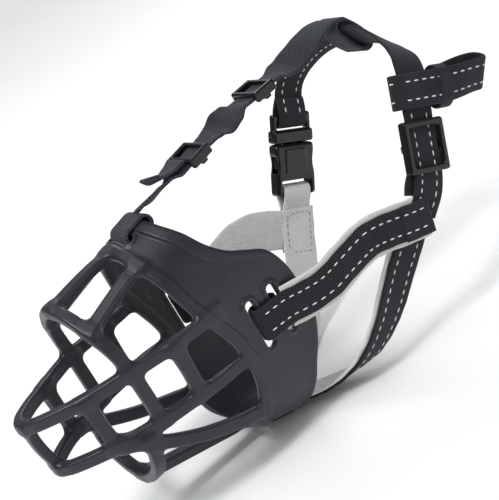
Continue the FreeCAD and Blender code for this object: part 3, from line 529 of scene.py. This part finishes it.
FORE_HI = [((0, 40.1, 65.1), (1, 0, -0.18)), ((0, 46.0, 65.8), (0.8, 0, -0.6)), ((0, 51.5, 66.8), (0.86, 0, -0.42)), ((0, 56.4, 67.38), (1, 0, 0)), ((0, 61.0, 67.65), (1, 0, 0)), ((0, 73.0, 68.35), (1, 0, 0)), ((0, 77.8, 68.64), (1, 0, 0)),
           ((0, 83.0, 68.6), (0.94, 0, -0.34)), ((0, 90.5, 69.0), (0.84, 0, -0.54)), ((0, 99.0, 71.0), (0.86, 0, -0.5)), ((0, 107.0, 73.2), (0.95, 0, -0.3)), ((0, 115.4, 73.4), (1, 0, -0.05)), ((0, 118.4, 72.0), (1, 0, 0))]
TAIL = [((0, 18.6, 64.9), (1, 0, 0.0)), ((0, 14.0, 63.9), (1, 0, 0.1)), ((0, 9.4, 63.3), (1, 0, 0.2)), ((0, 5.4, 64.0), (1, 0, 0.28)), ((0, 3.4, 66.2), (1, 0, 0.3))]

PIECES = []


def done(ob, nodes, slot, how, *arg):
    """Take a piece: hide the CAD nodes it stands for, list it in PIECES, and parent it to its body (ride; squash with
    its own mesh copy) or bake its placement (blend). slot is not used.
    """
    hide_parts(*nodes)
    PIECES.append(ob)
    if how == "ride":
        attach(ob, arg[0])
    elif how == "blend":
        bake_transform(ob)
    elif how == "squash":
        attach(ob, arg[0])
        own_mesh(ob)


def mm(*v):
    return tuple(x / 1000.0 for x in v)


def inward(path):
    p, w, s = dense(path, 2.0)
    k = len(p) // 3
    n = np.cross(p[k + 1] - p[k], w[k])
    return -1.0 if (n[0] > 0) == (p[k][0] > 0) else 1.0


ST = 3.9
webs, linings, hard = [], [], []
for sx, side, path in ((1, "left", CHEEK_L), (-1, "right", CHEEK_R)):
    full = [((sx * x, y, -2.0), (0, 0, 1)) for x, y in CHEEK_RETURN] + path
    o = run("cheek_webbing_" + side, full, rows=(-ST, ST), faces=(1, -1), span=(0.20, 0.985), seed=sx * 1.1)
    done(o, ["cheek_strap_" + side], "webbing", "ride", "harness")
    webs.append(o)
    o = run("cheek_padding_" + side, path[1:], width=LIN_W, thick=LIN_T, off=1.42 * inward(path), wav=0.10, seed=2.0 * sx, puff=0.25)
    done(o, ["cheek_lining_" + side], "lining", "ride", "harness")
    linings.append(o)
for side, path in (("left", CHIN_L), ("right", CHIN_R)):
    sx = 1 if side == "left" else -1
    o = run("chin_webbing_" + side, path, rows=(-ST, ST), seed=0.7 * sx)
    done(o, ["chin_strap_" + side], "webbing", "blend", "basket_body", "harness", mm(sx * 12, 15, -54), mm(sx * 43, 58, -28))
    webs.append(o)
    pad = path[:-1]
    if side == "right":
        pad = [(tuple(BK_O + BU * -6.4 + A(0.6, 0, 0)), BW), (tuple(BK_O + BU * -10.5 + A(0.9, -0.2, -0.4)), BW)] + pad
    o = run("chin_padding_" + side, pad, width=LIN_W - 1.0, thick=LIN_T, off=1.45 * inward(path), wav=0.06, seed=1.7 * sx, puff=0.25,
            boxes=((3.4, 20.0, 6.4, int(inward(path))),))
    done(o, ["chin_lining_" + side], "lining", "blend", "basket_body", "harness", mm(sx * 12, 15, -54), mm(sx * 43, 58, -28))
    linings.append(o)
# junctions
PATCH_L = [((51.9, 70.6, -2.2), (0, 0.32, 1)), ((52.7, 77.6, -4.2), (0, 0.32, 1)), ((53.3, 84.2, -5.7), (0, 0.30, 1))]
PATCH_R = [((-50.1, 80.4, -6.6), (0, -0.889, 0.458)), ((-49.9, 76.2, -14.8), (0, -0.87, 0.48)), ((-49.2, 71.0, -24.2), (0, -0.86, 0.50))]
o = run("junction_left", PATCH_L, width=WEB_W + 0.6, thick=0.9, rows=(-ST, ST), span=(0.0, 1.0), seed=0.2, wav=0.03)
done(o, ["junction_patch_left"], "webbing", "ride", "harness")
webs.append(o)
o = run("junction_right", PATCH_R, width=WEB_W + 0.6, boxes=((3.0, 16.5, 5.2, 1), (3.0, 16.5, 5.2, -1)), seed=0.5, wav=0.05)
done(o, ["junction_patch_right"], "webbing", "ride", "harness")
webs.append(o)
# neck straps
o = run("neck_webbing_left", NECK_L, rows=(-ST, ST), span=(0.0, 0.42), seed=0.4, wav=0.08)
done(o, ["neck_strap_left"], "webbing", "ride", "harness")
webs.append(o)
o = run("neck_webbing_right", NECK_R, rows=(-ST, ST), span=(0.25, 0.97), seed=0.9, wav=0.06)
anchor = A(-0.4, 121.4, 63.2)
reach = float(np.dot(anchor - BK_O, BU)) - 45.6
done(o, ["neck_strap_right"], "webbing", "squash", "harness", "buckle_release", tuple(BU), tuple(anchor / 1000), (reach - 22.0) / reach)
webs.append(o)
NECK_END = [(tuple(A(*NP(-8.5)) + A(-2.8, -0.5, 0.2)), NW), (tuple(A(*NP(-13.5)) + A(-3.0, -2.0, 0.9)), NW), (tuple(A(*NP(-17.5)) + A(-3.5, -3.4, 1.7)), (0, -0.89, 0.45)),
            (tuple(A(*NP(-20.8)) + A(-3.6, -4.0, 1.9)), (0, -0.87, 0.49))]
o = run("neck_webbing_end", NECK_END, seed=2.3, wav=0.10)
done(o, ["neck_strap_left"], "webbing", "ride", "harness")
webs.append(o)
# forehead
o = run("forehead_webbing_lower", FORE_LO, seed=0.3, wav=0.10)
done(o, ["forehead_strap_lower"], "webbing", "blend", "basket_body", "harness", mm(0, -6, 59), mm(0, 14, 61))
webs.append(o)
o = run("forehead_webbing_upper", FORE_HI, seed=1.3, wav=0.10)
done(o, ["forehead_strap_upper"], "webbing", "blend", "harness", "crown_slider", mm(0, 84, 69), mm(0, 112, 73))
webs.append(o)
o = run("forehead_webbing_tail", TAIL, seed=1.9, wav=0.10)
done(o, ["forehead_strap_tail"], "webbing", "ride", "lower_adjuster")
webs.append(o)


def loop_piece(name, node, body, args, wdir, width=WEB_W, thick=WEB_T, **kw):
    bow = kw.pop("bow", 0.0)
    pts, s = stadium_path(*args, bow=bow)
    w = np.repeat(np.asarray(wdir, float)[None], len(pts), 0)
    tip = kw.pop("tip", None)
    if tip:
        o_, d_, wv = np.asarray(args[0], float), unit(args[1]), unit(wdir)
        k = smooth(((pts - o_) @ d_ - 5.0) / 30.0)
        ang = np.radians(tip[0]) * k
        rel = pts - o_
        lnv = np.cross(wv, d_)
        ln_c = rel @ lnv
        pts = pts + lnv * (ln_c * (np.cos(ang) - 1))[:, None] + wv * (ln_c * np.sin(ang))[:, None] + wv * (tip[1] * k ** 1.3)[:, None]
        w = wv[None] * np.cos(ang)[:, None] - lnv[None] * np.sin(ang)[:, None]
    o = ribbon(name, pts, w, s, width=width, thick=thick, closed=True, **kw)
    done(o, [node], "webbing", "ride", body)
    webs.append(o)
    return o


CD, CN = unit((0, 1.0, -0.27)), unit((0, 0.27, 1.0))
loop_piece("chin_slot_loop", "chin_anchor_loop", "basket_body", (A(0, 0, -53.3) + CN * 1.8, CD, CN, -8.4, 3.0, 4.5), (1, 0, 0), wav=0.04, seed=0.5)
loop_piece("brow_slot_loop", "forehead_anchor_loop", "basket_body", ((0, -14.6, 53.35), (0, 1.0, 0.19), (0, -0.19, 1.0), -3.6, 3.8, 3.35), (1, 0, 0), wav=0.04, seed=0.1)
loop_piece("crown_webbing_loop", "crown_loop", "crown_slider", ((0, 121.4, 63.2), (0, -0.5, 0.86), (0, 0.86, 0.5), -7.0, 7.0, 3.5), (1, 0, 0), wav=0.05, seed=0.1, bow=0.6)
LO = NS_O + NU * 24.0
LD = A(0, 0.935, -0.353)
LD = unit(LD - NU * LD.dot(NU))
LN = np.cross(NU, LD)
if LN[0] < 0:
    LN = -LN
LOOP_SIGN = -1.0 if np.dot(np.cross(NU, LD), LN) > 0 else 1.0
TIP = (24.0 * LOOP_SIGN, 3.6)
loop_piece("collar_webbing_loop", "collar_loop", "collar_tab", (LO, LD, LN, -7.4, 34.0, 3.6), tuple(NU), rows=(-ST, ST), faces=(1, -1), wav=0.06, seed=0.3, bow=0.9, span=(0.0, 1.0), tip=TIP)
kp, ks = stadium_path(LO + LD * 13.5, np.cross(LD, LN), LN, -3.6, 3.6, 5.3, bow=0.0)
o = ribbon("keeper_band", kp, np.repeat(LD[None], len(kp), 0), ks, width=6.4, thick=1.2, closed=True, wav=0.02, rows=(), seed=0.2)
done(o, ["collar_loop_keeper"], "webbing", "ride", "tab_keeper")
webs.append(o)


def loc(x, b, c):
    return BK_O + ba * x + bb * b + bc * c


def local_path(pts):
    return [(tuple(loc(0, b, c)), tuple(ba)) for b, c in pts]


o = run("plug_webbing_bight", local_path([(-0.9, 46.4), (-1.5, 44.4), (-2.1, 42.5), (-2.7, 40.0), (-2.75, 37.0), (-2.6, 34.6), (-1.5, 33.3), (0.0, 33.0), (1.5, 33.3), (2.6, 34.6), (2.75, 37.0), (2.7, 40.0), (2.1, 42.5), (1.5, 44.4), (0.9, 46.4)]),
        step=0.6, thick=1.3, rows=(-ST, ST), span=(0.0, 1.0), cuts=((8.5, 21.0),), wav=0.02)
done(o, ["plug_bight"], "webbing", "ride", "plug")
webs.append(o)
o = run("socket_webbing_loop", local_path([(-1.5, -9.6), (-1.9, -4.5), (-3.0, -1.3), (-3.3, 1.0), (-2.9, 3.6), (-1.5, 4.8), (1.5, 4.8), (2.9, 3.6), (3.3, 1.0), (3.0, -1.3), (1.9, -4.5), (1.0, -8.4)]),
        step=0.6, thick=1.3, wav=0.02)
done(o, ["socket_loop"], "lining", "ride", "harness")
linings.append(o)


# ------------------------------------------------------------------ hardware from distance fields
def field(lo_, hi_, h):
    ax = [np.arange(a, b + h, h) for a, b in zip(lo_, hi_)]
    return ax, ax[0][:, None, None], ax[1][None, :, None], ax[2][None, None, :]


def rb(x, y, z, x0, x1, y0, y1, z0, z1, r):
    qx = np.abs(x - (x0 + x1) / 2) - ((x1 - x0) / 2 - r)
    qy = np.abs(y - (y0 + y1) / 2) - ((y1 - y0) / 2 - r)
    qz = np.abs(z - (z0 + z1) / 2) - ((z1 - z0) / 2 - r)
    return np.sqrt(np.maximum(qx, 0) ** 2 + np.maximum(qy, 0) ** 2 + np.maximum(qz, 0) ** 2) + np.minimum(np.maximum(np.maximum(qx, qy), qz), 0) - r


def place(name, Fl, ax, h, o, a, b, c, node, body, slot="hardware"):
    v, q = nets(Fl.astype(np.float32), np.array([ax[0][0], ax[1][0], ax[2][0]]), h)
    v = relax(v, q, 2)
    w = o + v[:, 0:1] * a + v[:, 1:2] * b + v[:, 2:3] * c
    if np.dot(np.cross(a, b), c) < 0:
        q = q[:, ::-1]
    ob = mesh_object(name, w, q)
    done(ob, [node], slot, "ride", body)
    hard.append(ob)
    return ob


def slide(name, node, body, o, u, outward, wid, length, rail, bars_t):
    a, b, c = axes(u, outward)
    H, L = wid / 2, length / 2
    h = 0.24
    ax, x, y, z = field((-H - 1, -4.2, -L - 1), (H + 1, 4.2, L + 1), h)
    outer = rb(x, y, z, -H, H, -1.9, 3.1, -L, L, 1.2)
    cz = np.maximum(np.abs(x) + np.abs(z) - (H + L - 1.6), 0) * 0.7071
    outer = smax(outer, cz - 0.4, 0.8)
    win = rb(x, y, z, -H + rail, H - rail, -12, 12, -L + bars_t, L - bars_t, 0.9)
    F_ = smax(outer, -win, 0.7)
    chan = rb(x, y, z, -H + rail - 0.05, H - rail + 0.05, -12, 1.25, -L - 6, L + 6, 0.25)
    F_ = smax(F_, -chan, 0.4)
    F_ = smin(F_, rb(x, y, z, -H + 0.7, H - 0.7, -3.15, -1.35, -1.6, 1.6, 0.6), 0.5)
    return place(name, F_, ax, h, o, a, b, c, node, body)


slide("neck_slide_frame", "neck_slide", "neck_adjuster", NS_O, NU, (1, 0, 0), 21.4, 23.0, 2.8, 3.0)
slide("forehead_slide_frame_lower", "forehead_slide_lower", "lower_adjuster", A(0, 25.5, 62.7), (0, 17, 2.8), (0, 0, 1), 21.0, 12.0, 2.6, 2.4)
slide("forehead_slide_frame_upper", "forehead_slide_upper", "upper_adjuster", A(0, 67.0, 68.0), (0, 17, 0.99), (0, 0, 1), 21.0, 12.0, 2.6, 2.4)

SW, STK, SL = 10.8, 3.9, 25.0
ax, x, y, z = field((-12.5, -5, -1.5), (12.5, 5, 41), 0.24)
body = rb(x, y, z, -SW, SW, -STK, STK, 0, SL, 1.9)
body = smax(body, -(np.hypot(np.abs(x) - 19.0, z - 15.5) - 9.4), 1.0)
dome = rb(x, y, z, -6.5, 6.5, -4.25, 4.25, 10.0, 23.0, 1.6)
body = smin(body, dome, 0.8)
body = smax(body, -rb(x, y, z, -9.7, 9.7, -2.3, 2.3, 8.4, 40, 0.4), 0.4)
body = smax(body, -rb(x, y, z, -16, 16, -2.3, 2.3, 11.2, 19.2, 0.6), 0.6)
body = smax(body, -rb(x, y, z, -8.4, 8.4, -12, 12, 2.8, 7.6, 0.9), 0.7)
body = smax(body, -rb(x, y, z, -8.3, 8.3, 2.35, 12, -4, 4.6, 0.3), 0.5)
body = smax(body, -rb(x, y, z, -8.3, 8.3, -12, -2.35, -4, 4.6, 0.3), 0.5)
place("buckle_socket_shell", body, ax, 0.24, BK_O, ba, bb, bc, "buckle_socket", "harness")

plug = rb(x, y, z, -SW, SW, -3.6, 3.6, 25.4, 31.4, 1.2)
plug = smin(plug, rb(x, y, z, -SW, SW, -1.8, 1.8, 28.0, 39.4, 1.4), 0.8)
plug = smax(plug, -rb(x, y, z, -8.4, 8.4, -12, 12, 31.6, 35.2, 0.9), 0.7)
plug = smin(plug, rb(x, y, z, -1.6, 1.6, -1.8, 1.8, 11.6, 27, 0.7), 0.6)
for sg in (-1, 1):
    plug = smax(plug, -np.maximum(np.hypot(x - sg * 6.4, z - 27.2) - 1.92, np.abs(y) - 2.15), 0.2)
    plug = smax(plug, -rb(x, y, z, sg * 6.4 - 1.8, sg * 6.4 + 1.8, -2.1, 2.1, 24.0, 27.2, 0.1), 0.2)
place("buckle_plug_body", plug, ax, 0.24, BK_O, ba, bb, bc, "buckle_plug", "plug")
for sg, nm, bd in ((1, "front", "prong_front"), (-1, "rear", "prong_rear")):
    q = [(6.4 - 1.1, 27.2), (6.4 + 1.1, 27.2), (6.4 + 1.2, 20.4), (9.4, 18.4), (9.4, 13.6), (7.0, 10.6), (5.4, 10.6), (5.0, 12.0)]
    q = np.array([(sg * p, r_) for p, r_ in q])
    best = np.full((len(ax[0]), len(ax[2])), 1e9)
    X2, Z2 = np.meshgrid(ax[0], ax[2], indexing="ij")
    ins = np.zeros(X2.shape, bool)
    for p, r_ in zip(q, np.roll(q, -1, 0)):
        d = r_ - p
        t = np.clip(((X2 - p[0]) * d[0] + (Z2 - p[1]) * d[1]) / (d @ d), 0, 1)
        best = np.minimum(best, np.hypot(X2 - p[0] - t * d[0], Z2 - p[1] - t * d[1]))
        m = (p[1] > Z2) != (r_[1] > Z2)
        ins ^= m & (X2 < d[0] * (Z2 - p[1]) / (d[1] if d[1] != 0 else 1e-9) + p[0])
    arm = np.where(ins, -best, best)[:, None, :]
    arm = np.minimum(arm, np.hypot(x - sg * 6.4, z - 27.2) - 1.84)
    place("buckle_prong_arm_" + nm, smax(arm + 0 * y, np.abs(y) - 1.9, 0.6), ax, 0.24, BK_O, ba, bb, bc, "buckle_prong_" + nm, bd)

done(basket, ["basket"], "moulded_rubber", "ride", "basket_body")


# ------------------------------------------------------------------ materials
def new_mat(name):
    m = bpy.data.materials.new(name)
    m.use_nodes = True
    nt = m.node_tree
    nt.nodes.clear()
    out = nt.nodes.new("ShaderNodeOutputMaterial")
    bs = nt.nodes.new("ShaderNodeBsdfPrincipled")
    nt.links.new(bs.outputs["BSDF"], out.inputs["Surface"])

    def node(t, **kw):
        n = nt.nodes.new(t)
        for k, v in kw.items():
            if k.startswith("in_"):
                n.inputs[k[3:].replace("_", " ")].default_value = v
            else:
                setattr(n, k, v)
        return n

    def link(a, b):
        nt.links.new(a, b)

    def math_(op, a, b=None, c=None):
        n = nt.nodes.new("ShaderNodeMath")
        n.operation = op
        for i, v in enumerate((a, b, c)):
            if v is None:
                continue
            if isinstance(v, (int, float)):
                n.inputs[i].default_value = v
            else:
                link(v, n.inputs[i])
        return n.outputs[0]
    return m, bs, node, link, math_


def ramp(node, stops):
    n = node("ShaderNodeValToRGB")
    el = n.color_ramp.elements
    while len(el) > 1:
        el.remove(el[-1])
    el[0].position, el[0].color = stops[0][0], stops[0][1]
    for p, c in stops[1:]:
        e = el.new(p)
        e.color = c
    return n


def srgb(hexa):
    v = [int(hexa[i:i + 2], 16) / 255 for i in (0, 2, 4)]
    return tuple(c / 12.92 if c <= 0.04045 else ((c + 0.055) / 1.055) ** 2.4 for c in v) + (1.0,)


def rubber():
    m, bs, node, link, math_ = new_mat("moulded_rubber")
    tc = node("ShaderNodeTexCoord")
    n1 = node("ShaderNodeTexNoise", in_Scale=28.0, in_Detail=6.0, in_Roughness=0.6)
    link(tc.outputs["Object"], n1.inputs["Vector"])
    r1 = ramp(node, [(0.3, srgb("121317")), (0.5, srgb("17181d")), (0.72, srgb("1e2026"))])
    link(n1.outputs["Fac"], r1.inputs["Fac"])
    n2 = node("ShaderNodeTexNoise", in_Scale=900.0, in_Detail=3.0)
    link(tc.outputs["Object"], n2.inputs["Vector"])
    n3 = node("ShaderNodeTexNoise", in_Scale=160.0, in_Detail=4.0)
    link(tc.outputs["Object"], n3.inputs["Vector"])
    # Painted rim sheen: faces seen at a grazing angle are mixed towards light blue-grey 565a66 in the base colour, a
    # painted highlight rather than the rubber's own colour.
    lw = node("ShaderNodeLayerWeight", in_Blend=0.35)
    mx = node("ShaderNodeMixRGB", blend_type="MIX")
    mx.inputs["Color2"].default_value = srgb("565a66")
    painted_rim_sheen = math_("MULTIPLY", lw.outputs["Facing"], 0.22)
    link(painted_rim_sheen, mx.inputs["Fac"])
    link(r1.outputs["Color"], mx.inputs["Color1"])
    geo = node("ShaderNodeNewGeometry")
    rp = ramp(node, [(0.46, (0, 0, 0, 1)), (0.62, (1, 1, 1, 1))])
    link(geo.outputs["Pointiness"], rp.inputs["Fac"])
    wear = math_("MULTIPLY", math_("MULTIPLY", rp.outputs["Color"], n3.outputs["Fac"]), 0.35)
    mx2 = node("ShaderNodeMixRGB", blend_type="MIX")
    mx2.inputs["Color2"].default_value = srgb("4a4d55")
    link(wear, mx2.inputs["Fac"])
    link(mx.outputs["Color"], mx2.inputs["Color1"])
    link(mx2.outputs["Color"], bs.inputs["Base Color"])
    ro = math_("MULTIPLY_ADD", n3.outputs["Fac"], 0.20, 0.31)
    link(ro, bs.inputs["Roughness"])
    bs.inputs["Specular IOR Level"].default_value = 0.5
    bs.inputs["Sheen Weight"].default_value = 0.12
    bs.inputs["Sheen Roughness"].default_value = 0.5
    bs.inputs["Sheen Tint"].default_value = srgb("8a90a0")
    hsum = math_("ADD", math_("MULTIPLY", n2.outputs["Fac"], 0.5), math_("MULTIPLY", n3.outputs["Fac"], 0.5))
    bp = node("ShaderNodeBump", in_Strength=0.45, in_Distance=0.00028)
    link(hsum, bp.inputs["Height"])
    link(bp.outputs["Normal"], bs.inputs["Normal"])
    return m


def woven(name, c_dark, c_mid, c_light, pitch_u, pitch_v, strength, sheen, rough=0.8, tint="9a9da6", melange=0.5):
    """Plain or ribbed weave from the band's own length and width coordinates, in mm."""
    m, bs, node, link, math_ = new_mat(name)
    uv = node("ShaderNodeUVMap", uv_map="weave")
    sp = node("ShaderNodeSeparateXYZ")
    link(uv.outputs["UV"], sp.inputs[0])
    tc = node("ShaderNodeTexCoord")
    wob = node("ShaderNodeTexNoise", in_Scale=300.0, in_Detail=2.0)
    link(tc.outputs["Object"], wob.inputs["Vector"])
    wv = math_("MULTIPLY", math_("SUBTRACT", wob.outputs["Fac"], 0.5), 0.5)
    u = math_("ADD", math_("MULTIPLY", sp.outputs[0], 2 * math.pi / pitch_u), wv)
    v = math_("ADD", math_("MULTIPLY", sp.outputs[1], 2 * math.pi / pitch_v), wv)
    warp = math_("SINE", math_("ADD", u, math_("MULTIPLY", math_("SIGN", math_("SINE", v)), math.pi / 2)))
    rib = math_("ABSOLUTE", math_("SINE", v))
    h = math_("MULTIPLY_ADD", math_("MULTIPLY", math_("ADD", warp, 1.0), rib), 0.5, 0.0)
    fib = node("ShaderNodeTexNoise", in_Scale=2600.0, in_Detail=3.0, in_Roughness=0.7)
    link(tc.outputs["Object"], fib.inputs["Vector"])
    big = node("ShaderNodeTexNoise", in_Scale=60.0, in_Detail=4.0)
    link(tc.outputs["Object"], big.inputs["Vector"])
    hh_ = math_("ADD", h, math_("MULTIPLY", fib.outputs["Fac"], 0.5))
    mixv = math_("ADD", math_("MULTIPLY", h, 0.55), math_("MULTIPLY", fib.outputs["Fac"], melange))
    mixv = math_("ADD", mixv, math_("MULTIPLY", math_("SUBTRACT", big.outputs["Fac"], 0.5), 0.35))
    r = ramp(node, [(0.12, srgb(c_dark)), (0.5, srgb(c_mid)), (0.95, srgb(c_light))])
    link(mixv, r.inputs["Fac"])
    link(r.outputs["Color"], bs.inputs["Base Color"])
    link(math_("MULTIPLY_ADD", fib.outputs["Fac"], 0.2, rough - 0.1), bs.inputs["Roughness"])
    bs.inputs["Sheen Weight"].default_value = sheen
    bs.inputs["Sheen Roughness"].default_value = 0.4
    bs.inputs["Sheen Tint"].default_value = srgb(tint)
    bs.inputs["Specular IOR Level"].default_value = 0.35
    bp = node("ShaderNodeBump", in_Strength=strength, in_Distance=0.0004)
    link(hh_, bp.inputs["Height"])
    link(bp.outputs["Normal"], bs.inputs["Normal"])
    return m


def thread(name, c1, c2):
    m, bs, node, link, math_ = new_mat(name)
    tc = node("ShaderNodeTexCoord")
    n = node("ShaderNodeTexNoise", in_Scale=1500.0, in_Detail=2.0)
    link(tc.outputs["Object"], n.inputs["Vector"])
    w = node("ShaderNodeTexWave", in_Scale=900.0, in_Distortion=2.0)
    w.bands_direction = "DIAGONAL"
    link(tc.outputs["Object"], w.inputs["Vector"])
    r = ramp(node, [(0.2, srgb(c1)), (0.8, srgb(c2))])
    link(n.outputs["Fac"], r.inputs["Fac"])
    link(r.outputs["Color"], bs.inputs["Base Color"])
    bs.inputs["Roughness"].default_value = 0.5
    bs.inputs["Sheen Weight"].default_value = 0.3
    bp = node("ShaderNodeBump", in_Strength=0.5, in_Distance=0.0002)
    link(w.outputs["Fac"], bp.inputs["Height"])
    link(bp.outputs["Normal"], bs.inputs["Normal"])
    return m


def acetal():
    m, bs, node, link, math_ = new_mat("hardware")
    tc = node("ShaderNodeTexCoord")
    n = node("ShaderNodeTexNoise", in_Scale=120.0, in_Detail=5.0)
    link(tc.outputs["Object"], n.inputs["Vector"])
    r = ramp(node, [(0.3, srgb("08080a")), (0.7, srgb("101113"))])
    link(n.outputs["Fac"], r.inputs["Fac"])
    mp = node("ShaderNodeMapping")
    mp.inputs["Scale"].default_value = (1.0, 0.12, 1.0)
    link(tc.outputs["Object"], mp.inputs["Vector"])
    sc = node("ShaderNodeTexNoise", in_Scale=2200.0, in_Detail=2.0)
    link(mp.outputs["Vector"], sc.inputs["Vector"])
    geo = node("ShaderNodeNewGeometry")
    rp = ramp(node, [(0.52, (0, 0, 0, 1)), (0.66, (1, 1, 1, 1))])
    link(geo.outputs["Pointiness"], rp.inputs["Fac"])
    mx = node("ShaderNodeMixRGB")
    mx.inputs["Color2"].default_value = srgb("3a3c41")
    link(math_("MULTIPLY", math_("MULTIPLY", rp.outputs["Color"], n.outputs["Fac"]), 0.5), mx.inputs["Fac"])
    link(r.outputs["Color"], mx.inputs["Color1"])
    link(mx.outputs["Color"], bs.inputs["Base Color"])
    link(math_("MULTIPLY_ADD", sc.outputs["Fac"], 0.14, 0.17), bs.inputs["Roughness"])
    bs.inputs["Specular IOR Level"].default_value = 0.5
    bp = node("ShaderNodeBump", in_Strength=0.12, in_Distance=0.0001)
    link(math_("ADD", sc.outputs["Fac"], n.outputs["Fac"]), bp.inputs["Height"])
    link(bp.outputs["Normal"], bs.inputs["Normal"])
    return m


M_RUB = rubber()
M_WEB = woven("webbing", "08080a", "1a1b1f", "3c3e45", 1.5, 1.25, 0.8, 0.35, melange=0.55)
M_WE2 = woven("webbing_plain", "0d0e11", "26282e", "4e515a", 1.6, 1.3, 0.9, 0.45, melange=0.62)
M_LIN = woven("lining", "bdbdb8", "dededa", "f3f3f0", 1.3, 1.1, 0.8, 0.4, rough=0.85, tint="ffffff", melange=0.4)
M_THR = thread("stitching", "b8b8b6", "efefee")
M_THG = thread("stitching_grey", "77777a", "98989c")
M_ACE = acetal()
basket.data.materials.append(M_RUB)
for o in webs:
    plain = o.name.startswith(("forehead", "brow", "crown"))
    o.data.materials.append(M_WE2 if plain else M_WEB)
    o.data.materials.append(M_THR)
for o in linings:
    o.data.materials.append(M_LIN)
    o.data.materials.append(M_THG)
for o in hard:
    o.data.materials.append(M_ACE)

# ------------------------------------------------------------------ stage
bl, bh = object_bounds()

fm, fbs, fnode, flink, fmath = new_mat("pale_floor")
ftc = fnode("ShaderNodeTexCoord")
fn = fnode("ShaderNodeTexNoise", in_Scale=3.0, in_Detail=3.0)
flink(ftc.outputs["Object"], fn.inputs["Vector"])
fr_ = ramp(fnode, [(0.3, srgb("f1f1f0")), (0.7, srgb("f6f6f5"))])
flink(fn.outputs["Fac"], fr_.inputs["Fac"])
flink(fr_.outputs["Color"], fbs.inputs["Base Color"])
fbs.inputs["Roughness"].default_value = 0.9
bpy.ops.mesh.primitive_plane_add(size=12.0, location=(0, 0, bl.z - 0.0006))
floor = bpy.context.object
floor.name = "floor"
floor.data.materials.append(fm)

AZ, EL, ROLL = math.radians(65.3), math.radians(20.7), math.radians(-30.4)
right = A(math.cos(AZ), math.sin(AZ), 0)
back = A(math.sin(AZ) * math.cos(EL), -math.cos(AZ) * math.cos(EL), math.sin(EL))
up = np.cross(back, right)
R = math.cos(ROLL) * right + math.sin(ROLL) * up
U = -math.sin(ROLL) * right + math.cos(ROLL) * up
pts = []
for o in PIECES:
    co = np.empty(len(o.data.vertices) * 3, np.float32)
    o.data.vertices.foreach_get("co", co)
    co = co.reshape(-1, 3)[::7]
    mw = np.array(o.matrix_world)
    pts.append(co @ mw[:3, :3].T + mw[:3, 3])
pts = np.concatenate(pts)
px, py, pz = pts @ R, pts @ U, pts @ back
LENS, SENSOR = 110.0, 36.0
tan = SENSOR / 2 / LENS
cx, cy, D = (px.min() + px.max()) / 2, (py.min() + py.max()) / 2, 1.0
for k in range(30):
    D = 0.5 * (np.abs(px - cx) / (tan * 0.945) + pz).max() + 0.5 * (np.abs(py - cy) / (tan * 0.945) + pz).max()
    D = max((np.abs(px - cx) / (tan * 0.945) + pz).max(), (np.abs(py - cy) / (tan * 0.945) + pz).max())
    sx_, sy_ = (px - cx) / (D - pz), (py - cy) / (D - pz)
    cx += (sx_.min() + sx_.max()) / 2 * D * 0.8
    cy += (sy_.min() + sy_.max()) / 2 * D * 0.8
loc_ = R * cx + U * cy + back * D
cam_data = bpy.data.cameras.new("camera")
cam_data.lens, cam_data.sensor_width = LENS, SENSOR
cam_data.clip_start, cam_data.clip_end = 0.01, 50
cam = bpy.data.objects.new("camera", cam_data)
bpy.context.scene.collection.objects.link(cam)
cam.matrix_world = Matrix(((R[0], U[0], back[0], loc_[0]), (R[1], U[1], back[1], loc_[1]), (R[2], U[2], back[2], loc_[2]), (0, 0, 0, 1)))
bpy.context.scene.camera = cam


def area(name, at_, target, size, power, col=(1, 1, 1)):
    d = bpy.data.lights.new(name, "AREA")
    d.shape, d.size, d.energy, d.color = "DISK", size, power, col
    ob = bpy.data.objects.new(name, d)
    bpy.context.scene.collection.objects.link(ob)
    ob.location = at_
    ob.rotation_euler = (Vector(target) - Vector(at_)).to_track_quat("-Z", "Y").to_euler()


ctr = (0, 0.02, 0.0)
sun = bpy.data.lights.new("sun", "SUN")
sun.energy, sun.angle = 1.25, math.radians(16)
so = bpy.data.objects.new("sun", sun)
bpy.context.scene.collection.objects.link(so)
so.rotation_euler = (-Vector((0.25, -0.45, 1.0))).to_track_quat("-Z", "Y").to_euler()
area("key", (0.30, -0.55, 0.75), ctr, 0.45, 1.6, (0.93, 0.96, 1.0))
area("fill", (0.9, 0.35, 0.30), ctr, 0.8, 1.0, (0.93, 0.96, 1.0))
area("back", (-0.6, 0.45, 0.6), ctr, 0.5, 2.0, (0.93, 0.96, 1.0))
area("top", (0.05, -0.05, 0.9), ctr, 0.5, 1.3, (0.93, 0.96, 1.0))
w = bpy.data.worlds.new("studio")
w.use_nodes = True
wn = w.node_tree
wb = wn.nodes["Background"]
wb.inputs[0].default_value = (0.93, 0.94, 0.96, 1)
wl = wn.nodes.new("ShaderNodeLightPath")
wm = wn.nodes.new("ShaderNodeMath")
wm.operation = "MULTIPLY_ADD"
wm.inputs[1].default_value, wm.inputs[2].default_value = -0.38, 0.56
wn.links.new(wl.outputs["Is Glossy Ray"], wm.inputs[0])
wn.links.new(wm.outputs[0], wb.inputs[1])
bpy.context.scene.world = w
bpy.context.scene.view_settings.view_transform = "Standard"
